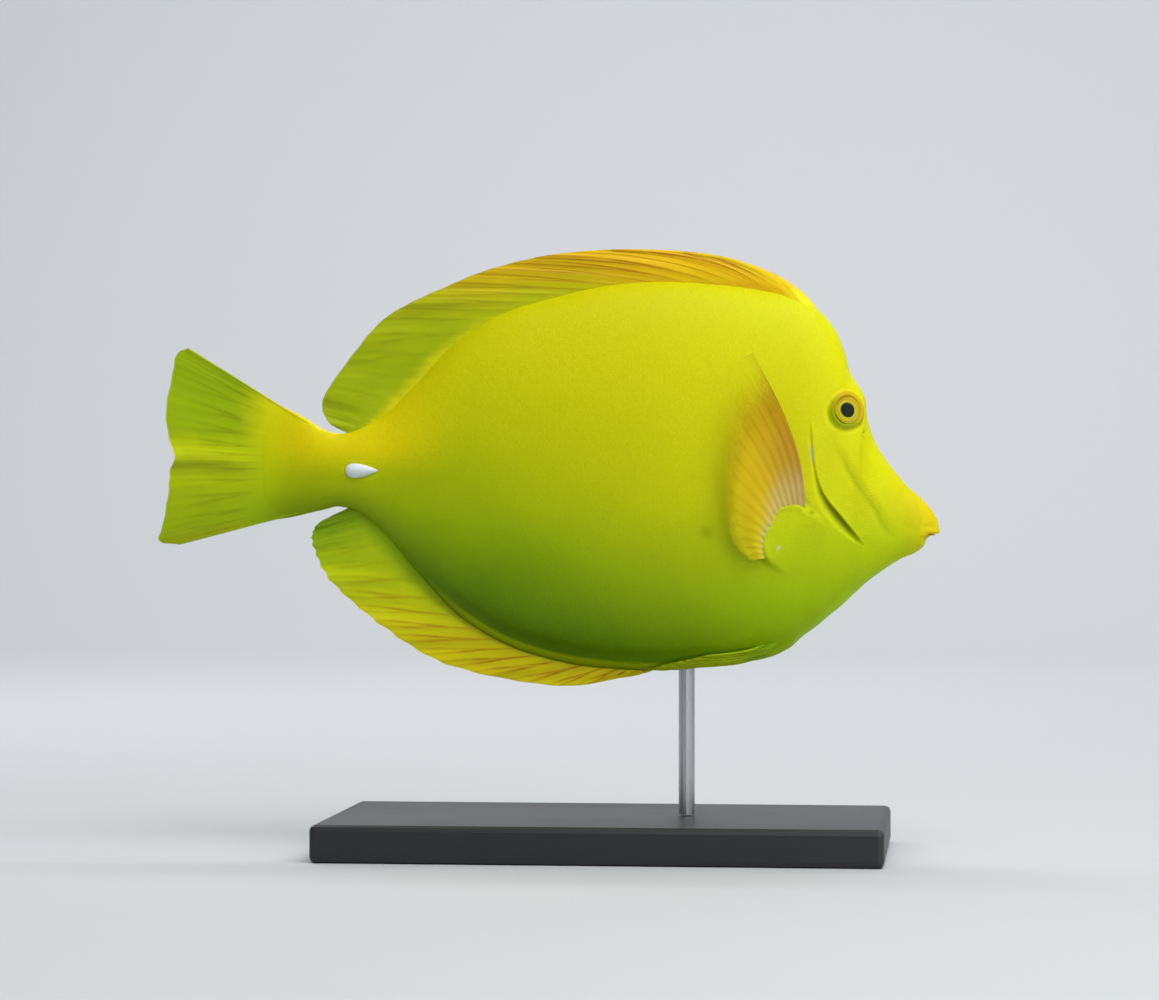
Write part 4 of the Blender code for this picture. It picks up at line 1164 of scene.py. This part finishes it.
# Painted light and shade on the folds: lighter and darker bands across the fin, lightest along the middle
# fold with a darker band below it.
tail_tones_and_fold_light = (
    (0.0, (206, 206, 2)),
    (0.08, (152, 180, 0)),
    (0.36, (162, 190, 0)),
    (0.48, (204, 218, 0)),
    (0.6, (158, 174, 0)),
    (0.68, (176, 196, 0)),
    (0.82, (150, 176, 0)),
    (1.0, (150, 166, 0)),
)
caudal.data.materials.append(
    fin_paint(
        "caudal_membrane",
        tail_tones_and_fold_light,
        (colour(124, 144, 0), colour(124, 144, 0)),
        (0.1, 0.05),
        (colour(112, 116, 0), colour(112, 116, 0)),
        (0.5, 0.42),
        (0.44, 0.46, 0.05),
        (0.42, 0.42, 0.42),
    )
)
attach(caudal, "root")
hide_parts("caudal_fin")

# The pectoral fins. Each is a fan of fifteen rays that rises from the edge of a fleshy base, held up and
# out from the flank, thin and a little see-through between its pale rays.
PECTORAL = (
    (20.5, -5.4, 18.9, -4.2, 13.2, 14.5),
    (19.9, -6.0, 17.4, -4.1, 11.2, 13.4),
    (19.3, -6.8, 16.0, -4.5, 9.5, 10.4),
    (18.5, -7.7, 15.0, -5.4, 8.7, 5.6),
    (17.9, -8.7, 14.3, -6.8, 8.4, 0.0),
    (17.1, -9.6, 13.9, -8.2, 8.8, -5.1),
    (16.3, -10.4, 13.8, -9.6, 9.9, -9.0),
    (15.5, -11.1, 14.2, -11.0, 12.4, -11.5),
)
PECTORAL_RAYS = 15
# How far in millimetres the tips of the first ray and of the last stand out from the flank, and how far the
# roots do; how far forward in hundredths the first ray is bowed; and how deep in the base the roots lie, as a
# share of it.
PECTORAL_SPREAD, LOWER_SPREAD, ROOT_SPREAD = 9.5, 2.2, 0.3
PECTORAL_BOW = 1.5
ROOT_DEPTH = 0.35


def pectoral_sheet(side, number, share, reach):
    """Points of a pectoral fin, from inside its fleshy base to the rim."""
    path = resampled(PECTORAL, len(number))[:, :, None]
    out = reach * (1 - 0.007 * np.abs(np.sin(np.pi * number)))
    root_x = path[:, 2] + (path[:, 0] - path[:, 2]) * ROOT_DEPTH
    root_z = path[:, 3] + (path[:, 1] - path[:, 3]) * ROOT_DEPTH
    bow = PECTORAL_BOW * np.sin(np.pi * out**0.85) * (1 - share) ** 1.5
    x = root_x + (path[:, 4] - root_x) * out + bow
    z = root_z + (path[:, 5] - root_z) * out
    spread = LOWER_SPREAD + (PECTORAL_SPREAD - LOWER_SPREAD) * (1 - share) ** 0.8
    pleats = 0.1 * np.sin(number * 2.4) * rise(out, 0.2, 1.0)
    y = flank(x, z) + ROOT_SPREAD + (spread - ROOT_SPREAD) * out**0.8 + pleats
    return in_mm(x, side * y, z)


def pectoral_paint():
    material, tree, shader, _ = moist_material("pectoral_membrane", 0.2, 0.001, 0.15, 2300.0, 0.06)
    ray, reach, share, from_ray, off_line = fin_marks(tree)
    streak = noisy(tree, along_rays(tree, ray, reach, 1.2), 1.7, 3.0)
    on_ray = ranged(tree, off_line, 0.24, 0.02)
    amber = ((0.0, (206, 152, 16)), (0.16, (210, 168, 10)), (0.5, (228, 196, 6)), (0.8, (226, 210, 2)))
    membrane = stepped(tree, share, amber)
    membrane = toned(tree, membrane, (198, 194, 2), ranged(tree, reach, 0.55, 1.0, 0.0, 0.6))
    pale = mixed(tree, ranged(tree, reach, 0.3, 0.8), colour(216, 186, 42), colour(212, 202, 14))
    streaked = ranged(tree, streak, 0.35, 0.65, 0.2, 0.75)
    shown = times(tree, on_ray, streaked, ranged(tree, reach, 0.5, 0.9, 0.8, 0.1))
    paint = mixed(tree, shown, membrane, pale)
    front = ranged(tree, share, 0.45, 0.05)
    paint = toned(tree, paint, (198, 150, 60), front, between(tree, reach, 0.1, 0.2, 0.3, 0.62), 0.4)
    edge = ranged(tree, ray, 0.2, 0.04)
    paint = toned(tree, paint, (120, 84, 0), edge, between(tree, reach, 0.4, 0.7, 0.8, 1.0), 0.6)
    comb = ranged(tree, share, 0.4, 0.65)
    gaps = mixed(tree, comb, colour(214, 186, 120), colour(192, 176, 88))
    roots = mixed(tree, ranged(tree, from_ray, 0.16, 0.36), colour(208, 198, 140), gaps)
    long_root = times(tree, ranged(tree, reach, 0.34, 0.1), ranged(tree, share, 0.7, 0.4, 0.0, 0.6))
    short_root = times(tree, ranged(tree, reach, 0.25, 0.11, 0.0, 0.75), comb)
    paint = mixed(tree, worked(tree, "MAXIMUM", long_root, short_root), paint, roots)
    tree.links.new(paint, shader.inputs["Base Color"])
    far = worked(tree, "MAXIMUM", ranged(tree, reach, 0.5, 1.0), ranged(tree, share, 0.3, 1.0, 0.0, 0.7))
    between_rays = worked(tree, "MULTIPLY_ADD", on_ray, -0.3, 1.0)
    thin = times(tree, far, ranged(tree, reach, 0.15, 0.5), ranged(tree, ray, 0.1, 1.2), between_rays)
    seen = worked(tree, "MULTIPLY_ADD", thin, -0.75, 0.96)
    rim = times(tree, ranged(tree, reach, 0.58, 0.95), ranged(tree, share, 0.0, 0.15, 0.85, 1.0))
    tree.links.new(worked(tree, "MULTIPLY_ADD", times(tree, seen, rim), -0.95, seen), shader.inputs["Alpha"])
    return material


pectoral_material = pectoral_paint()
number, share, reach = fan(PECTORAL_RAYS, 64, 1.1)
half = 0.1 + 0.35 * (1 - reach) ** 2 + 0.13 * ray_ridges(number, reach) * (1 - 0.6 * reach)
for side, word in SIDES:
    sheet = pectoral_sheet(side, number, share, reach)
    fin = fin_piece("pectoral_fin_skin_" + word, sheet, half, number, share, reach)
    fin.data.materials.append(pectoral_material)
    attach(fin, "root")
    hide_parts("pectoral_fin_" + word)

# The pelvic fins. One spine and five soft rays each, folded back flat along the lower flank. For each ray:
# how far along and how far across in millimetres it starts, and the same for its end.
PELVIC = ((16.8, 2.5, -0.6, 2.7), (16.4, 3.4, 0.6, 3.5), (16.0, 4.3, 3.0, 4.3), (15.4, 5.0, 6.8, 5.0))
PELVIC_RAYS = 6


def underside(x, across):
    """The level on the body's lower half where it is so many millimetres wide on one side."""
    levels = body_edge(x, BELLY)[..., None] + np.linspace(0, 12, 240)
    wide = flank(np.broadcast_to(x[..., None], levels.shape), levels) > across[..., None]
    return np.take_along_axis(levels, wide.argmax(axis=-1)[..., None], axis=-1)[..., 0]


def pelvic_sheet(side, number, reach):
    """Points of a pelvic fin that follows the skin from its root to its tip."""
    path = resampled(PELVIC, len(number))[:, :, None]
    x = path[:, 0] + (path[:, 2] - path[:, 0]) * reach
    across = path[:, 1] + (path[:, 3] - path[:, 1]) * reach
    out = -0.75 + 1.5 * rise(reach, -0.05, 0.4) + 0.3 * reach
    return on_flank(x, underside(x, across), side, out)


pelvic_tones = ((0.0, (184, 204, 2)), (0.5, (176, 200, 0)), (1.0, (164, 190, 0)))
pelvic_material = fin_paint(
    "pelvic_membrane",
    pelvic_tones,
    (colour(160, 170, 0), colour(160, 170, 0)),
    (0.3, 0.15),
    (colour(150, 150, 0), colour(150, 150, 0)),
    (0.4, 0.4),
    (0.4, 0.6, 0.5),
    (0.3, 0.3, 0.3),
)
number, share, reach = fan(PELVIC_RAYS, 34)
half = 0.14 + 0.2 * (1 - reach) + 0.14 * ray_ridges(number, reach) * (1 - 0.6 * reach)
for side, word in SIDES:
    fin = fin_piece("pelvic_fin_skin_" + word, pelvic_sheet(side, number, reach), half, number, share, reach)
    fin.data.materials.append(pelvic_material)
    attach(fin, "root")
    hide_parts("pelvic_fin_" + word)

# The tail spines. A white bone blade on each side of the tail base, folded forward into its sheath of skin,
# with its point to the front.
SPINE_FROM, SPINE_TO = -39.5, -35.15
SPINE_LIFT = 0.15
SPINE_HALF_HEIGHT, SPINE_HALF_THICKNESS = 1.72, 0.9


def spine_piece(name, side):
    """The blade: a flat drop with a blunt rear and a sharp point."""
    count, sides = 46, 36
    t = (np.arange(count) + 0.5) / count
    full = np.sin(np.pi * t**0.62) ** 0.75 * (1 - 0.25 * t)
    turn = np.linspace(0, 2 * np.pi, sides, endpoint=False)
    x = SPINE_FROM + (SPINE_TO - SPINE_FROM) * t
    z = SPINE_PLACE[1] + (SPINE_HALF_HEIGHT * full[:, None] * np.sin(turn)) / HUNDREDTH
    lies = flank(x, np.full(count, SPINE_PLACE[1]))[:, None] + SPINE_LIFT
    y = side * (lies + SPINE_HALF_THICKNESS * full[:, None] * np.cos(turn))
    wall = in_mm(np.broadcast_to(x[:, None], z.shape), y, z).reshape(-1, 3)
    end_x, end_z = np.array([SPINE_FROM, SPINE_TO]), np.full(2, SPINE_PLACE[1])
    ends = in_mm(end_x, side * (flank(end_x, end_z) + SPINE_LIFT), end_z)
    return make_piece(name, np.vstack([wall, ends]), ring_faces(count, sides))


def bumped(tree, shader, strength, distance, height):
    """Lets the surface catch the light as if it had small heights."""
    bump = put(tree, "ShaderNodeBump", {"Strength": strength, "Distance": distance, "Height": height})
    tree.links.new(bump.outputs[0], shader.inputs["Normal"])


def bone_paint():
    material, tree, shader = new_material("spine", 0.28, Subsurface_Weight=0.2, Subsurface_Scale=0.001)
    place, (_, _, z) = model_place(tree)
    noise = noisy(tree, place, 900.0, 3.0)
    tone = mixed(tree, ranged(tree, z, 0.0818, 0.083), colour(206, 214, 214), colour(240, 246, 250))
    tree.links.new(toned(tree, tone, (196, 206, 214), noise, 0.25), shader.inputs["Base Color"])
    bumped(tree, shader, 0.1, 0.0001, noise)
    return material


bone = bone_paint()
for side, word in SIDES:
    blade = spine_piece("caudal_blade_" + word, side)
    blade.data.materials.append(bone)
    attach(blade, "root")
    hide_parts("caudal_spine_" + word)

# The stand. A flat steel base with softened edges, powder-coated satin black, and one round steel rod that
# is screwed into it and glued into the belly.


def black_paint():
    material, tree, shader = new_material("stand_base", 0.42, Metallic=0.0)
    place = put(tree, "ShaderNodeTexCoord").outputs["Object"]
    pebble = noisy(tree, place, 1400.0, 2.0)
    cloud = noisy(tree, place, 40.0, 3.0)
    black = mixed(tree, cloud, (0.014, 0.014, 0.015, 1), (0.018, 0.018, 0.019, 1))
    tree.links.new(black, shader.inputs["Base Color"])
    tree.links.new(ranged(tree, cloud, 0.3, 0.7, 0.41, 0.45), shader.inputs["Roughness"])
    bumped(tree, shader, 0.12, 0.0002, pebble)
    return material


def steel_paint():
    material, tree, shader = new_material("stand_metal", 0.3, Metallic=1.0)
    place = put(tree, "ShaderNodeTexCoord").outputs["Object"]
    stretched = put(tree, "ShaderNodeMapping", {"Vector": place})
    stretched.inputs["Scale"].default_value = (5000, 5000, 60)
    lines = noisy(tree, stretched.outputs[0], 1.0, 3.0)
    steel = mixed(tree, lines, (0.53, 0.53, 0.54, 1), (0.59, 0.59, 0.6, 1))
    tree.links.new(steel, shader.inputs["Base Color"])
    tree.links.new(ranged(tree, lines, 0.3, 0.7, 0.26, 0.34), shader.inputs["Roughness"])
    bumped(tree, shader, 0.03, 0.0001, lines)
    return material


for node, paint in (("stand_base", black_paint()), ("stand_rod", steel_paint())):
    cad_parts[node].data.materials.clear()
    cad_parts[node].data.materials.append(paint)

# The floor and the lights. A plain pale floor sweeps up into a backdrop, under soft studio light from above,
# from in front and a little from behind.
FLOOR_FRONT, FLOOR_BACK, FLOOR_SIDE = -1.6, 1.0, 2.2
SWEEP_RADIUS = 0.4
BACKDROP_HEIGHT = 2.2


def floor_sweep():
    """A plain pale floor that bends up behind the model."""
    profile = [(FLOOR_FRONT, 0.0), (FLOOR_BACK, 0.0)]
    for turn in np.radians(np.arange(5, 91, 5)):
        profile.append((FLOOR_BACK + SWEEP_RADIUS * math.sin(turn), SWEEP_RADIUS * (1 - math.cos(turn))))
    profile.append((FLOOR_BACK + SWEEP_RADIUS, BACKDROP_HEIGHT))
    points = [(x, y, z) for y, z in profile for x in (-FLOOR_SIDE, FLOOR_SIDE)]
    faces = [(2 * i, 2 * i + 1, 2 * i + 3, 2 * i + 2) for i in range(len(profile) - 1)]
    mesh = bpy.data.meshes.new("floor")
    mesh.from_pydata(points, [], faces)
    mesh.shade_smooth()
    floor = bpy.data.objects.new("floor", mesh)
    bpy.context.scene.collection.objects.link(floor)
    mesh.materials.append(new_material("floor", 0.75, Base_Color=(0.6, 0.615, 0.63, 1))[0])
    return floor


def soft_light(name, place, size, power, aim=(0.0, 0.0, 0.08)):
    """A soft light that faces the fish, or another place."""
    light = bpy.data.lights.new(name, "AREA")
    light.shape = "RECTANGLE"
    light.size, light.size_y = size
    light.energy = power
    lamp = bpy.data.objects.new(name, light)
    lamp.location = place
    lamp.rotation_euler = (Vector(aim) - Vector(place)).to_track_quat("-Z", "Y").to_euler()
    bpy.context.scene.collection.objects.link(lamp)


bpy.context.scene.view_settings.view_transform = "Standard"
floor_sweep()
soft_light("top_light", (0.25, -0.3, 0.7), (0.7, 0.45), 4.5)
soft_light("front_light", (0.5, -0.6, 0.3), (0.5, 0.5), 1.9)
soft_light("rim_light", (-0.5, 0.45, 0.5), (0.4, 0.4), 1.0)
soft_light("backdrop_light", (0.0, 0.6, 1.2), (1.6, 0.3), 14.0, aim=(0.0, 1.4, 0.3))
world = bpy.data.worlds.new("room")
world.use_nodes = True
world.node_tree.nodes["Background"].inputs["Color"].default_value = (0.85, 0.92, 1.0, 1)
world.node_tree.nodes["Background"].inputs["Strength"].default_value = 0.2
bpy.context.scene.world = world

# The camera. It stands level on the fish's right side, as in the photo, turned a little towards the head.
# FRAME_WIDTH: how much of the fish's side the picture takes in, in metres, from the fish's share of it.
TAKE_FROM = math.radians(6)
CAMERA_AWAY = 0.8
PICTURE_PIXELS, FISH_PIXELS = 1153, 782
FRAME_WIDTH = PICTURE_PIXELS * FISH_LENGTH / FISH_PIXELS * 0.001
CAMERA_RIGHT, CAMERA_DOWN = 0.0076, 0.00652

camera = bpy.data.cameras.new("camera")
camera.sensor_width = 36
camera.lens = 36 * CAMERA_AWAY / FRAME_WIDTH
camera.clip_start = 0.01
eye_point = bpy.data.objects.new("camera", camera)
right = Vector((math.cos(TAKE_FROM), math.sin(TAKE_FROM), 0))
towards = Vector((math.sin(TAKE_FROM), -math.cos(TAKE_FROM), 0))
level = Vector((0, 0, AXIS_HEIGHT * 0.001 - CAMERA_DOWN))
eye_point.location = level + towards * CAMERA_AWAY + right * CAMERA_RIGHT
eye_point.rotation_euler = (-towards).to_track_quat("-Z", "Y").to_euler()
bpy.context.scene.collection.objects.link(eye_point)
bpy.context.scene.camera = eye_point
